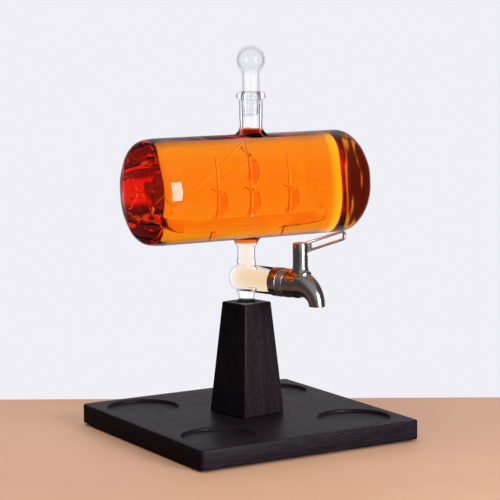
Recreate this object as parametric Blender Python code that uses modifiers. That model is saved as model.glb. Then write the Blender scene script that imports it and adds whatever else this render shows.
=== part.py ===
"""A barrel-shaped glass decanter with a glass ship inside, on a wooden stand, with a steel tap.

Lengths are in metres and +Z is up. The origin is on the table under the middle of the board.
The board lies square to X and Y, and the barrel lies along X. Two empties on the axis carry the
other turns about Z: one holds the pillar, and one holds the tap, whose way is the empty's -Y.
"""

import math

import bmesh
import bpy
from mathutils import Matrix, Vector

# Clearances that every piece shares
SEAT_GAP = 0.0003
OVERRUN = 0.004
WELD_DISTANCE = 0.00001

# Board
BOARD_SIDE = 0.235
BOARD_THICKNESS = 0.0185
BOARD_CORNER_RADIUS = 0.004
BOARD_EDGE_BEVEL = 0.0012
RECESS_RADIUS = 0.0345
RECESS_DEPTH = 0.003
RECESS_EDGE = 0.0095

# Feet under the board
FOOT_RADIUS = 0.008
FOOT_THICKNESS = 0.0025
FOOT_POCKET_DEPTH = 0.001
FOOT_INSET = 0.02
FOOT_EDGE = 0.0005

# Pillar and the screw that holds it from below
PILLAR_TURN = math.radians(11)
PILLAR_FOOT_SIDE = 0.0505
PILLAR_TOP_SIDE = 0.0335
PILLAR_HEIGHT = 0.1065
PILLAR_BEVEL = 0.0013
SCREW_RADIUS = 0.003
SCREW_HEAD_RADIUS = 0.0058
SCREW_HEAD_HEIGHT = 0.0032
SCREW_GRIP = 0.034
SCREW_TIP_LENGTH = 0.005
WASHER_RADIUS = 0.009
WASHER_THICKNESS = 0.0012
SCREW_POCKET_DEPTH = 0.006

# Rubber sleeve in the pillar's socket
SLEEVE_WALL = 0.0012
SLEEVE_FLOOR = 0.0015
SLEEVE_LIP_DROP = 0.0006

# Glass vessel
BARREL_RADIUS = 0.0495
BARREL_LENGTH = 0.234
BARREL_CORNER = 0.0075
BARREL_DOME = 0.005
BARREL_WALL = 0.003
PEG_RADIUS = 0.0074
PEG_STUB = 0.0098
PEG_SEAT_DEPTH = 0.034
PEG_CHAMFER = 0.001
CROSS_RADIUS = 0.0129
CROSS_WALL = 0.0023
CROSS_BACK = 0.0157
CROSS_FRONT = 0.0438
CROSS_END_RADIUS = 0.0095
GLASS_EDGE = 0.0006
DOWN_RADIUS = 0.0083
DOWN_WALL = 0.0024
DOWN_LENGTH = 0.0246
DOWN_RIDGE = 0.0008
BOSS_STEP = 0.002
BOSS_HEIGHT = 0.0062
BOSS_FLARE = 0.004
NECK_WALL = 0.0021
NECK_HEIGHT = 0.0395
NECK_WAIST = 0.0006
NECK_FLARE = 0.0045
NECK_PLACE = 0.0058
LIP_WIDTH = 0.0031
LIP_HEIGHT = 0.0072

# Stopper
PLUG_TOP_RADIUS = 0.0085
PLUG_END_RADIUS = 0.0074
PLUG_DEPTH = 0.0235
SHANK_RADIUS = 0.0084
SHANK_LENGTH = 0.0193
BALL_RADIUS = 0.0134

# Glass ship in the barrel
STERN_CLEARANCE = 0.0268
BOW_CLEARANCE = 0.036
HULL_BEAM = 0.026
HULL_DEPTH = 0.0085
HULL_SHEER = 0.002
DECK_DROP = 0.0202
STRUT_RADIUS = 0.0022
STRUT_FOOT_RADIUS = 0.0042
STRUT_FOOT_HEIGHT = 0.003
STRUT_PLACE_SHARES = (-0.359, 0.313)
MAST_RADIUS = 0.0017
MAST_TIP_RADIUS = 0.001
YARD_RADIUS = 0.0011
YARD_OVERHANG = 0.0025
SAIL_THICKNESS = 0.0014
SAIL_BULGE = 0.008
MAIN_MAST_SHARE = -0.0276
MAIN_MAST_RISE = 0.034
AFT_MAST_SHARE = -0.331
AFT_MAST_RISE = 0.0205
FORE_MAST_SHARE = 0.334
FORE_MAST_RISE = 0.0205
TOPSAIL_WIDTH = 0.023
TOPSAIL_HEIGHT = 0.0185
TOPSAIL_HEAD = 0.0215
MAINSAIL_WIDTH = 0.026
MAINSAIL_HEIGHT = 0.016
MAINSAIL_HEAD = -0.0022
BOWSPRIT_LENGTH = 0.0166
BOWSPRIT_RISE = 0.006
BOWSPRIT_RADIUS = 0.0014
LANTERN_RADIUS = 0.0026
LANTERN_RISE = 0.0065
STAY_UPPER_RISE = 0.0125
STAY_LOWER_RISE = 0.005
STAY_LOWER_HEAD = 0.0165
STAY_FORE_RISE = 0.0085
STAY_RADIUS = 0.0006

# Tap: the seal inside the glass tube and the rings in front of it
FERRULE_WALL = 0.0005
FERRULE_OVERLAP = 0.0073
FERRULE_FLANGE = 0.0014
FERRULE_EDGE = 0.0006
GASKET_RADIUS = 0.0131
GASKET_LENGTH = 0.0024
LOCK_RING_RADIUS = 0.0135
LOCK_RING_LENGTH = 0.005
LOCK_RING_GROOVE = 0.0004
LOCK_RING_RIDGES = 3
BUNG_INSET = 0.002
BUNG_LENGTH = 0.0075
BUNG_WAIST = 0.0006
SHANK_NUT_CLEARANCE = 0.0021
SHANK_NUT_LENGTH = 0.004
TAP_SHANK_RADIUS = 0.005
TAP_SHANK_BORE = 0.0032
TAP_SHANK_TAIL = 0.0012
TAP_TURN = math.radians(18)

# Tap: body, spout and valve
BODY_RADIUS = 0.0131
BODY_COLLAR_RADIUS = 0.0135
BODY_COLLAR_LENGTH = 0.0022
TOWER_SETBACK = 0.0124
TOWER_WALL = 0.0016
TOWER_RISE = 0.0267
TOWER_FLARE = 0.0022
SPOUT_REACH = 0.0198
SPOUT_RADIUS = 0.0076
SPOUT_DROP = 0.0188
SPOUT_BORE = 0.0056
PASSAGE_RADIUS = 0.0038
VALVE_RADIUS = 0.0052
VALVE_DROP = 0.0085
VALVE_PORT_RADIUS = 0.0034
STEM_RADIUS = 0.003
GLAND_HEIGHT = 0.006
GLAND_SINK = 0.0006
ORING_GROOVE_DEPTH = 0.0016
ORING_RADIUS = 0.00065
ORING_FIRST_RISE = 0.0105
ORING_PITCH = 0.006
CAP_HEIGHT = 0.0117
CAP_ROOF = 0.0034
CAP_EDGE = 0.0006
STOP_HEIGHT = 0.002
STOP_ANGLE = math.radians(-70)
STOP_WIDTH_ANGLE = math.radians(20)
STOP_SLACK_ANGLE = math.radians(3)
CAP_SCREW_RADIUS = 0.0012
CAP_SCREW_HEAD = 0.0026
CAP_SCREW_LENGTH = 0.0075
CAP_SCREW_HEAD_HEIGHT = 0.0014

# Tap: lever
LEVER_REACH = 0.0565
LEVER_HEIGHT = 0.0096
LEVER_BAR = 0.002
LEVER_THICKNESS = 0.0036
LEVER_ROUNDING = 0.0005
LEVER_WEB = 0.0125
LEVER_RISE = math.radians(9.4)
LEVER_TURN = math.radians(-10)
LEVER_SEAT_WALL = 0.0013
TONGUE_HEIGHT = 0.0052
OPEN_TURN = math.radians(90)

# Fineness of round shapes, in steps a turn
BARREL_STEPS = 36
TUBE_STEPS = 24
SMALL_STEPS = 16
THREAD_STEPS = 10
CORNER_ARC_STEPS = 4
BEND_STEPS = 8
SECTOR_STEP_ANGLE = math.radians(15)
HEXAGON_SIDES = 6

# Heights and places that follow from the sizes above
BOARD_BOTTOM = FOOT_THICKNESS - FOOT_POCKET_DEPTH + SEAT_GAP
BOARD_TOP = BOARD_BOTTOM + BOARD_THICKNESS
PILLAR_BOTTOM = BOARD_TOP + SEAT_GAP
PILLAR_TOP = PILLAR_BOTTOM + PILLAR_HEIGHT
CROSS_HEIGHT = PILLAR_TOP + PEG_STUB + CROSS_RADIUS
PEG_BOTTOM = PILLAR_TOP - PEG_SEAT_DEPTH
BARREL_BOTTOM = CROSS_HEIGHT + CROSS_RADIUS + DOWN_LENGTH
BARREL_HEIGHT = BARREL_BOTTOM + BARREL_RADIUS
BARREL_TOP = BARREL_HEIGHT + BARREL_RADIUS
LIP_TOP = BARREL_TOP + NECK_HEIGHT
BARREL_HALF = BARREL_LENGTH / 2
BARREL_BORE = BARREL_RADIUS - BARREL_WALL
NECK_RADIUS = PLUG_TOP_RADIUS + SEAT_GAP + NECK_WALL
NECK_ROOT_RADIUS = NECK_RADIUS - NECK_WAIST
LIP_RADIUS = NECK_RADIUS + LIP_WIDTH
CROSS_BORE = CROSS_RADIUS - CROSS_WALL
DOWN_BORE = DOWN_RADIUS - DOWN_WALL
BOSS_RADIUS = DOWN_RADIUS + BOSS_STEP
SLEEVE_RADIUS = PEG_RADIUS + SEAT_GAP + SLEEVE_WALL
SOCKET_RADIUS = SLEEVE_RADIUS + SEAT_GAP
FERRULE_RADIUS = CROSS_RADIUS + SEAT_GAP + FERRULE_WALL
FERRULE_START = CROSS_FRONT - FERRULE_OVERLAP
FERRULE_END = CROSS_FRONT + SEAT_GAP + FERRULE_FLANGE
GASKET_START = FERRULE_END + SEAT_GAP
LOCK_RING_START = GASKET_START + GASKET_LENGTH + SEAT_GAP
BODY_START = LOCK_RING_START + LOCK_RING_LENGTH + SEAT_GAP
BUNG_END = CROSS_FRONT - BUNG_INSET
BUNG_START = BUNG_END - BUNG_LENGTH
SHANK_NUT_END = BUNG_START + SHANK_NUT_LENGTH
SHANK_NUT_RADIUS = CROSS_BORE - SHANK_NUT_CLEARANCE
TAP_SHANK_START = BUNG_START - TAP_SHANK_TAIL
TOWER_PLACE = BODY_START + TOWER_SETBACK
TOWER_BORE = VALVE_RADIUS + SEAT_GAP
TOWER_RADIUS = TOWER_BORE + TOWER_WALL
TOWER_TOP = CROSS_HEIGHT + TOWER_RISE
CAP_BOTTOM = TOWER_TOP + SEAT_GAP
CAP_TOP = CAP_BOTTOM + CAP_HEIGHT
CAP_HOLLOW = CAP_HEIGHT - CAP_ROOF
STEM_RISE = TOWER_RISE + CAP_HOLLOW
GLAND_TOP = TOWER_RISE - GLAND_SINK
VALVE_SHOULDER = GLAND_TOP - GLAND_HEIGHT - SEAT_GAP
LEVER_SEAT = STEM_RADIUS + SEAT_GAP + LEVER_SEAT_WALL
LEVER_ROOT_HEIGHT = CAP_BOTTOM + CAP_HEIGHT / 2
DECK_HEIGHT = BARREL_HEIGHT - DECK_DROP
HULL_STERN = STERN_CLEARANCE - BARREL_HALF
HULL_BOW = BARREL_HALF - BOW_CLEARANCE
MAIN_MAST_PLACE = BARREL_HALF * MAIN_MAST_SHARE
AFT_MAST_PLACE = BARREL_HALF * AFT_MAST_SHARE
FORE_MAST_PLACE = BARREL_HALF * FORE_MAST_SHARE

COLOURS = {
    "black_wood": ((0.028, 0.017, 0.018, 1.0), 0.42, 0.0, 0.0),
    "clear_glass": ((0.93, 0.96, 0.96, 1.0), 0.03, 0.0, 1.0),
    "ship_glass": ((0.95, 0.96, 0.93, 1.0), 0.05, 0.0, 1.0),
    "steel": ((0.62, 0.61, 0.59, 1.0), 0.16, 1.0, 0.0),
    "screw_steel": ((0.55, 0.55, 0.54, 1.0), 0.32, 1.0, 0.0),
    "silicone": ((0.62, 0.63, 0.62, 1.0), 0.55, 0.0, 0.0),
    "black_rubber": ((0.02, 0.02, 0.02, 1.0), 0.8, 0.0, 0.0),
}


def clear_scene():
    """Remove every object, so that the file starts empty."""
    for item in list(bpy.data.objects):
        bpy.data.objects.remove(item, do_unlink=True)


def make_collection(name, hidden=False):
    """Add a collection to the scene."""
    collection = bpy.data.collections.new(name)
    bpy.context.scene.collection.children.link(collection)
    collection.hide_render = hidden
    return collection


def make_material(name):
    """A Principled material with the finish that COLOURS gives for this name."""
    colour, roughness, metallic, transmission = COLOURS[name]
    material = bpy.data.materials.new(name)
    material.use_nodes = True
    shader = material.node_tree.nodes["Principled BSDF"]
    shader.inputs["Base Color"].default_value = colour
    shader.inputs["Roughness"].default_value = roughness
    shader.inputs["Metallic"].default_value = metallic
    shader.inputs["Transmission Weight"].default_value = transmission
    return material


clear_scene()
PARTS = make_collection("barrel_decanter")
CUTTERS = make_collection("cutters", hidden=True)
MATERIALS = {name: make_material(name) for name in COLOURS}

PILLAR_AXIS = bpy.data.objects.new("pillar_axis", None)
PILLAR_AXIS.rotation_euler.z = PILLAR_TURN
PARTS.objects.link(PILLAR_AXIS)
TAP_AXIS = bpy.data.objects.new("tap_axis", None)
TAP_AXIS.rotation_euler.z = TAP_TURN
PARTS.objects.link(TAP_AXIS)

UPRIGHT = (0.0, 0.0, 0.0)
ALONG_BARREL = (0.0, math.pi / 2, 0.0)
ALONG_TAP = (math.pi / 2, 0.0, 0.0)
HALF_STEP_TURN = (0.0, 0.0, math.pi / TUBE_STEPS)


def place(item, finish=None, location=(0.0, 0.0, 0.0), rotation=UPRIGHT, parent=TAP_AXIS):
    """Put an object in the model: with a finish it is a part, and without one it is a tool."""
    if finish:
        PARTS.objects.link(item)
        item.data.materials.append(MATERIALS[finish])
    else:
        CUTTERS.objects.link(item)
        item.hide_render = True
        item.display_type = "WIRE"
    item.location = location
    item.rotation_euler = rotation
    item.parent = parent
    return item


def combine(target, tool, operation):
    """Add one exact Boolean step to a part."""
    step = target.modifiers.new(tool.name, "BOOLEAN")
    step.operation = operation
    step.solver = "EXACT"
    step.object = tool


def add_shapes(target, *tools):
    """Fuse the tools with the part."""
    for tool in tools:
        combine(target, tool, "UNION")


def cut_shapes(target, *tools):
    """Cut the tools out of the part."""
    for tool in tools:
        combine(target, tool, "DIFFERENCE")


def turned(name, profile, steps=TUBE_STEPS, closed=False):
    """Turn a profile of (radius, height) points about Z with a Screw modifier.

    The points run down the outer side. A closed profile comes back up its bore.
    """
    mesh = bpy.data.meshes.new(name)
    points = [(radius, 0.0, height) for radius, height in profile]
    edges = [(index, index + 1) for index in range(len(points) - 1)]
    if closed:
        edges.append((len(points) - 1, 0))
    mesh.from_pydata(points, edges, [])
    item = bpy.data.objects.new(name, mesh)
    screw = item.modifiers.new("turning", "SCREW")
    screw.axis = "Z"
    screw.angle = math.tau
    screw.steps = steps
    screw.render_steps = steps
    screw.use_merge_vertices = True
    screw.merge_threshold = WELD_DISTANCE
    screw.use_smooth_shade = True
    return item


def arc(centre_radius, centre_height, radius, start, end, steps):
    """Points on an arc in a profile, with angles in degrees from the outward direction."""
    points = []
    for index in range(steps + 1):
        angle = math.radians(start + (end - start) * index / steps)
        across = centre_radius + radius * math.cos(angle)
        points.append((across, centre_height + radius * math.sin(angle)))
    return points


def rod_profile(radius, top, bottom):
    """The profile of a plain cylinder."""
    return [(0.0, top), (radius, top), (radius, bottom), (0.0, bottom)]


def ring_profile(outer, inner, top, bottom):
    """The closed profile of a plain ring."""
    return [(outer, top), (outer, bottom), (inner, bottom), (inner, top)]


def box(name, size):
    """A box about its own middle, made from a cube."""
    mesh = bpy.data.meshes.new(name)
    shape = bmesh.new()
    bmesh.ops.create_cube(shape, size=1.0)
    bmesh.ops.scale(shape, vec=Vector(size), verts=shape.verts)
    shape.to_mesh(mesh)
    shape.free()
    return bpy.data.objects.new(name, mesh)


def add_bevel(item, width, segments=2, angle=math.radians(30)):
    """Round the edges that are sharper than the angle."""
    bevel = item.modifiers.new("rounded_edges", "BEVEL")
    bevel.width = width
    bevel.segments = segments
    bevel.limit_method = "ANGLE"
    bevel.angle_limit = angle


def as_mesh(item, name):
    """The closed mesh of a curve, in place of the curve."""
    bpy.context.collection.objects.link(item)
    bpy.context.view_layer.update()
    evaluated = item.evaluated_get(bpy.context.evaluated_depsgraph_get())
    mesh = bpy.data.meshes.new_from_object(evaluated)
    shape = bmesh.new()
    shape.from_mesh(mesh)
    bmesh.ops.remove_doubles(shape, verts=shape.verts, dist=WELD_DISTANCE)
    bmesh.ops.recalc_face_normals(shape, faces=shape.faces)
    shape.to_mesh(mesh)
    shape.free()
    solid = bpy.data.objects.new(name, mesh)
    solid.matrix_world = item.matrix_world
    bpy.data.objects.remove(item, do_unlink=True)
    return solid


def tube(name, points, radii, bevel_resolution=2):
    """A round tube along points, with a radius at each point and filled ends."""
    widest = max(radii)
    curve = bpy.data.curves.new(name + "_path", "CURVE")
    curve.dimensions = "3D"
    curve.bevel_depth = widest
    curve.bevel_resolution = bevel_resolution
    curve.use_fill_caps = True
    spline = curve.splines.new("POLY")
    spline.points.add(len(points) - 1)
    for knot, point, radius in zip(spline.points, points, radii):
        knot.co = (*point, 1.0)
        knot.radius = radius / widest
    return as_mesh(bpy.data.objects.new(name + "_path", curve), name)


def make_board():
    """The square board with four round recesses in its top and the holes under it."""
    board = box("board", (BOARD_SIDE, BOARD_SIDE, BOARD_THICKNESS))
    middle = (BOARD_TOP + BOARD_BOTTOM) / 2
    place(board, "black_wood", (0.0, 0.0, middle), parent=None)
    upright_edges = board.modifiers.new("rounded_corners", "BEVEL")
    upright_edges.width = BOARD_CORNER_RADIUS
    upright_edges.segments = 4
    upright_edges.limit_method = "WEIGHT"
    weights = board.data.attributes.new("bevel_weight_edge", "FLOAT", "EDGE")
    for edge in board.data.edges:
        ends = [board.data.vertices[index].co.z for index in edge.vertices]
        if abs(ends[0] - ends[1]) > BOARD_THICKNESS / 2:
            weights.data[edge.index].value = 1.0
    add_bevel(board, BOARD_EDGE_BEVEL, angle=math.radians(60))
    recess_profile = rod_profile(RECESS_RADIUS, OVERRUN, -RECESS_DEPTH)
    for place_x, place_y in corner_places(RECESS_RADIUS + RECESS_EDGE):
        recess = turned("recess_tool", recess_profile, BARREL_STEPS)
        place(recess, location=(place_x, place_y, BOARD_TOP), parent=None)
        cut_shapes(board, recess)
    pocket_profile = rod_profile(FOOT_RADIUS + SEAT_GAP, FOOT_POCKET_DEPTH, -OVERRUN)
    for place_x, place_y in corner_places(FOOT_INSET):
        pocket = turned("pocket_tool", pocket_profile, SMALL_STEPS)
        place(pocket, location=(place_x, place_y, BOARD_BOTTOM), parent=None)
        cut_shapes(board, pocket)
    head_pocket = WASHER_RADIUS + SEAT_GAP
    hole = SCREW_RADIUS + SEAT_GAP
    drill = turned("screw_hole_tool", [
        (0.0, BOARD_THICKNESS + OVERRUN),
        (hole, BOARD_THICKNESS + OVERRUN),
        (hole, SCREW_POCKET_DEPTH),
        (head_pocket, SCREW_POCKET_DEPTH),
        (head_pocket, -OVERRUN),
        (0.0, -OVERRUN),
    ], SMALL_STEPS)
    place(drill, location=(0.0, 0.0, BOARD_BOTTOM), parent=None)
    cut_shapes(board, drill)


def corner_places(inset):
    """Four places seen from above, one near each corner, inset from the board's sides."""
    reach = BOARD_SIDE / 2 - inset
    return [(x, y) for x in (-reach, reach) for y in (-reach, reach)]


def make_feet():
    """Four round rubber pads, each in a shallow pocket of the board."""
    profile = [
        (0.0, FOOT_THICKNESS),
        (FOOT_RADIUS, FOOT_THICKNESS),
        (FOOT_RADIUS, FOOT_EDGE),
        (FOOT_RADIUS - FOOT_EDGE, 0.0),
        (0.0, 0.0),
    ]
    for number, (place_x, place_y) in enumerate(corner_places(FOOT_INSET), start=1):
        foot = turned(f"foot_{number}", profile, SMALL_STEPS)
        place(foot, "black_rubber", (place_x, place_y, 0.0), parent=None)


def make_pillar():
    """The tapered square post, with its socket on top and its screw hole below."""
    pillar = box("pillar", (PILLAR_FOOT_SIDE, PILLAR_FOOT_SIDE, PILLAR_HEIGHT))
    taper = PILLAR_TOP_SIDE / PILLAR_FOOT_SIDE
    for corner in pillar.data.vertices:
        if corner.co.z > 0.0:
            corner.co.x *= taper
            corner.co.y *= taper
    place(pillar, "black_wood", (0.0, 0.0, PILLAR_BOTTOM + PILLAR_HEIGHT / 2), parent=PILLAR_AXIS)
    add_bevel(pillar, PILLAR_BEVEL)
    socket_floor = -(PEG_SEAT_DEPTH + SEAT_GAP + SLEEVE_FLOOR + SEAT_GAP)
    socket = turned("socket_tool", rod_profile(SOCKET_RADIUS, OVERRUN, socket_floor), TUBE_STEPS)
    place(socket, location=(0.0, 0.0, PILLAR_TOP))
    pilot_depth = SCREW_GRIP + SCREW_TIP_LENGTH + SEAT_GAP
    pilot_profile = rod_profile(SCREW_RADIUS + SEAT_GAP, pilot_depth, -OVERRUN)
    pilot = turned("pilot_tool", pilot_profile, SMALL_STEPS)
    place(pilot, location=(0.0, 0.0, PILLAR_BOTTOM))
    cut_shapes(pillar, socket, pilot)


def make_pillar_screw():
    """The screw up the middle of the pillar, and the washer under its head."""
    seat = BOARD_BOTTOM + SCREW_POCKET_DEPTH - SEAT_GAP
    washer = turned("screw_washer", ring_profile(
        WASHER_RADIUS, SCREW_RADIUS + SEAT_GAP, 0.0, -WASHER_THICKNESS), SMALL_STEPS, closed=True)
    place(washer, "screw_steel", (0.0, 0.0, seat), parent=None)
    under_head = seat - WASHER_THICKNESS - SEAT_GAP
    grip_top = PILLAR_BOTTOM + SCREW_GRIP - under_head
    screw = turned("pillar_screw", [
        (0.0, grip_top + SCREW_TIP_LENGTH),
        (SCREW_RADIUS, grip_top),
        (SCREW_RADIUS, 0.0),
        (SCREW_HEAD_RADIUS, 0.0),
        (SCREW_HEAD_RADIUS, -SCREW_HEAD_HEIGHT / 2),
        (SCREW_RADIUS, -SCREW_HEAD_HEIGHT),
        (0.0, -SCREW_HEAD_HEIGHT),
    ], SMALL_STEPS)
    place(screw, "screw_steel", (0.0, 0.0, under_head), parent=None)


def make_sleeve():
    """The rubber cup that grips the glass peg in the pillar."""
    bore = PEG_RADIUS + SEAT_GAP
    floor = -PEG_SEAT_DEPTH - SEAT_GAP
    sleeve = turned("peg_sleeve", [
        (SLEEVE_RADIUS, -SLEEVE_LIP_DROP),
        (SLEEVE_RADIUS, floor - SLEEVE_FLOOR),
        (0.0, floor - SLEEVE_FLOOR),
        (0.0, floor),
        (bore, floor),
        (bore, -SLEEVE_LIP_DROP),
    ], TUBE_STEPS, closed=True)
    place(sleeve, "black_rubber", (0.0, 0.0, PILLAR_TOP))


BARREL_END_SHARES = (0.0, 0.6)


def barrel_profile(radius, half_length, corner):
    """The barrel's outline about its axis: two slightly domed ends with rounded corners."""
    tilt = math.atan(2 * BARREL_DOME / radius)
    edge = radius - corner + corner * math.sin(tilt)
    end = []
    for share in BARREL_END_SHARES:
        end.append((edge * share, half_length - BARREL_DOME * share ** 2))
    shoulder = half_length - BARREL_DOME - corner * math.cos(tilt)
    end += arc(radius - corner, shoulder, corner, 90 - math.degrees(tilt), 0, CORNER_ARC_STEPS)
    return end + [(across, -along) for across, along in reversed(end)]


def make_vessel():
    """The blown barrel with its neck, its tubes and its peg, fused into one piece of glass."""
    outline = barrel_profile(BARREL_RADIUS, BARREL_HALF, BARREL_CORNER)
    vessel = turned("decanter_glass", outline, BARREL_STEPS)
    place(vessel, "clear_glass", (0.0, 0.0, BARREL_HEIGHT), ALONG_BARREL, None)
    inner_outline = barrel_profile(BARREL_BORE, BARREL_HALF - BARREL_WALL, BARREL_CORNER - BARREL_WALL)
    inside = turned("barrel_inside", inner_outline, BARREL_STEPS)
    place(inside, location=(0.0, 0.0, BARREL_HEIGHT), rotation=ALONG_BARREL, parent=None)
    add_shapes(vessel, neck_outside(), down_tube_outside(), cross_tube_outside(), peg_outside())
    cut_shapes(vessel, inside, neck_bore(), down_tube_bore(), cross_tube_bore())


def neck_outside():
    """The neck with its flared root and the bead round its mouth."""
    bead = LIP_HEIGHT / 2
    root = NECK_FLARE + NECK_FLARE
    profile = [
        (0.0, NECK_HEIGHT),
        *arc(LIP_RADIUS - bead, NECK_HEIGHT - bead, bead, 90, -60, CORNER_ARC_STEPS),
        (NECK_RADIUS, NECK_HEIGHT - LIP_HEIGHT),
        (NECK_RADIUS, root + NECK_FLARE),
        (NECK_ROOT_RADIUS, root),
        (NECK_ROOT_RADIUS + NECK_FLARE / 4, NECK_FLARE),
        (NECK_ROOT_RADIUS + NECK_FLARE, -NECK_FLARE / 4),
        (NECK_ROOT_RADIUS + NECK_FLARE, -BARREL_WALL - NECK_FLARE),
        (0.0, -BARREL_WALL - NECK_FLARE),
    ]
    return place(turned("neck_outside", profile), location=(NECK_PLACE, 0.0, BARREL_TOP), parent=None)


def neck_bore():
    """The ground taper for the stopper, and the bore below it."""
    taper_top = PLUG_TOP_RADIUS + SEAT_GAP
    taper_end = PLUG_END_RADIUS + SEAT_GAP
    mouth = taper_top + GLASS_EDGE
    profile = [
        (0.0, NECK_HEIGHT + OVERRUN),
        (mouth, NECK_HEIGHT + OVERRUN),
        (mouth, NECK_HEIGHT),
        (taper_top, NECK_HEIGHT - GLASS_EDGE),
        (taper_end, NECK_HEIGHT - PLUG_DEPTH),
        (taper_end, -BARREL_WALL - OVERRUN),
        (0.0, -BARREL_WALL - OVERRUN),
    ]
    return place(turned("neck_bore", profile), location=(NECK_PLACE, 0.0, BARREL_TOP), parent=None)


def down_tube_outside():
    """The tube under the barrel, with a boss at its top and a fused ridge at its foot."""
    ridge = CROSS_HEIGHT + CROSS_RADIUS - BARREL_BOTTOM
    profile = [
        (0.0, BARREL_WALL + BOSS_FLARE),
        (BOSS_RADIUS + BOSS_FLARE, BARREL_WALL + BOSS_FLARE),
        (BOSS_RADIUS + BOSS_FLARE, BOSS_FLARE / 4),
        (BOSS_RADIUS + BOSS_FLARE / 4, -BOSS_FLARE / 2),
        (BOSS_RADIUS, -BOSS_FLARE),
        (BOSS_RADIUS, -BOSS_HEIGHT + DOWN_RIDGE),
        (DOWN_RADIUS, -BOSS_HEIGHT - DOWN_RIDGE),
        (DOWN_RADIUS, ridge + BOSS_FLARE),
        (DOWN_RADIUS + DOWN_RIDGE, ridge + BOSS_FLARE / 2),
        (DOWN_RADIUS + DOWN_RIDGE, ridge - CROSS_WALL),
        (DOWN_RADIUS, ridge - CROSS_RADIUS / 2),
        (0.0, ridge - CROSS_RADIUS / 2),
    ]
    return place(turned("down_tube_outside", profile), location=(0.0, 0.0, BARREL_BOTTOM))


def down_tube_bore():
    """The bore from the barrel's floor to the cross tube."""
    foot = CROSS_HEIGHT - BARREL_BOTTOM
    profile = rod_profile(DOWN_BORE, BARREL_WALL + OVERRUN, foot)
    return place(turned("down_tube_bore", profile), location=(0.0, 0.0, BARREL_BOTTOM))


def cross_tube_outside():
    """The level tube that carries the tap, closed and rounded at the back."""
    rounding = CROSS_END_RADIUS
    profile = [
        (0.0, CROSS_FRONT),
        (CROSS_RADIUS - GLASS_EDGE, CROSS_FRONT),
        (CROSS_RADIUS, CROSS_FRONT - GLASS_EDGE),
        *arc(CROSS_RADIUS - rounding, rounding - CROSS_BACK, rounding, 0, -90, CORNER_ARC_STEPS),
        (0.0, -CROSS_BACK),
    ]
    item = turned("cross_tube_outside", profile)
    return place(item, location=(0.0, 0.0, CROSS_HEIGHT), rotation=ALONG_TAP)


def cross_tube_bore():
    """The bore of the level tube, open at the tap's end."""
    rounding = CROSS_END_RADIUS - CROSS_WALL
    back = CROSS_BACK - CROSS_WALL
    profile = [
        (0.0, CROSS_FRONT + OVERRUN),
        (CROSS_BORE, CROSS_FRONT + OVERRUN),
        *arc(CROSS_BORE - rounding, rounding - back, rounding, 0, -90, CORNER_ARC_STEPS),
        (0.0, -back),
    ]
    item = turned("cross_tube_bore", profile)
    return place(item, location=(0.0, 0.0, CROSS_HEIGHT), rotation=ALONG_TAP)


def peg_outside():
    """The solid peg under the level tube, which stands in the pillar."""
    top = CROSS_HEIGHT - CROSS_BORE - CROSS_WALL / 2 - PEG_BOTTOM
    profile = [
        (0.0, top),
        (PEG_RADIUS, top),
        (PEG_RADIUS, PEG_CHAMFER),
        (PEG_RADIUS - PEG_CHAMFER, 0.0),
        (0.0, 0.0),
    ]
    return place(turned("peg_outside", profile), location=(0.0, 0.0, PEG_BOTTOM))


def make_stopper():
    """The ball stopper with its ground plug."""
    ball_height = SHANK_LENGTH + math.sqrt(BALL_RADIUS ** 2 - SHANK_RADIUS ** 2)
    foot_angle = -math.degrees(math.acos(SHANK_RADIUS / BALL_RADIUS))
    profile = [
        *arc(0.0, ball_height, BALL_RADIUS, 90, foot_angle, BEND_STEPS),
        (SHANK_RADIUS, GLASS_EDGE),
        (PLUG_TOP_RADIUS, -GLASS_EDGE),
        (PLUG_END_RADIUS, -PLUG_DEPTH + GLASS_EDGE),
        (PLUG_END_RADIUS - GLASS_EDGE, -PLUG_DEPTH),
        (0.0, -PLUG_DEPTH),
    ]
    profile[0] = (0.0, ball_height + BALL_RADIUS)
    stopper = turned("stopper", profile, TUBE_STEPS)
    place(stopper, "clear_glass", (NECK_PLACE, 0.0, LIP_TOP), parent=None)


HULL_STATION_SHARES = (0.0, 0.06, 0.18, 0.36, 0.58, 0.78, 0.91, 1.0)
HULL_BEAM_SHARES = (0.46, 0.72, 0.94, 1.0, 0.97, 0.78, 0.45, 0.05)
HULL_DEPTH_SHARES = (0.7, 0.92, 1.0, 1.0, 1.0, 1.0, 0.96, 0.8)
HULL_SHEER_SHARES = (0.9, 0.55, 0.2, 0.0, 0.05, 0.3, 0.65, 1.0)
HULL_RING_STEPS = 10
HULL_FULLNESS = 0.8


def hull_ring(station):
    """One section of the hull: a round bilge under a flat deck."""
    along = HULL_STERN + (HULL_BOW - HULL_STERN) * HULL_STATION_SHARES[station]
    half_beam = HULL_BEAM / 2 * HULL_BEAM_SHARES[station]
    depth = HULL_DEPTH * HULL_DEPTH_SHARES[station]
    deck = HULL_SHEER * HULL_SHEER_SHARES[station]
    ring = []
    for index in range(HULL_RING_STEPS + 1):
        angle = math.pi * index / HULL_RING_STEPS
        across = half_beam * math.cos(angle)
        ring.append(Vector((along, across, deck - depth * math.sin(angle) ** HULL_FULLNESS)))
    return ring


def loft(name, rings):
    """A closed solid through rings that have the same number of points."""
    mesh = bpy.data.meshes.new(name)
    shape = bmesh.new()
    rows = [[shape.verts.new(point) for point in ring] for ring in rings]
    count = len(rows[0])
    for near, far in zip(rows, rows[1:]):
        for index in range(count):
            after = (index + 1) % count
            shape.faces.new((near[index], near[after], far[after], far[index]))
    shape.faces.new(rows[0])
    shape.faces.new(rows[-1])
    bmesh.ops.recalc_face_normals(shape, faces=shape.faces)
    shape.to_mesh(mesh)
    shape.free()
    return bpy.data.objects.new(name, mesh)


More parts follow.
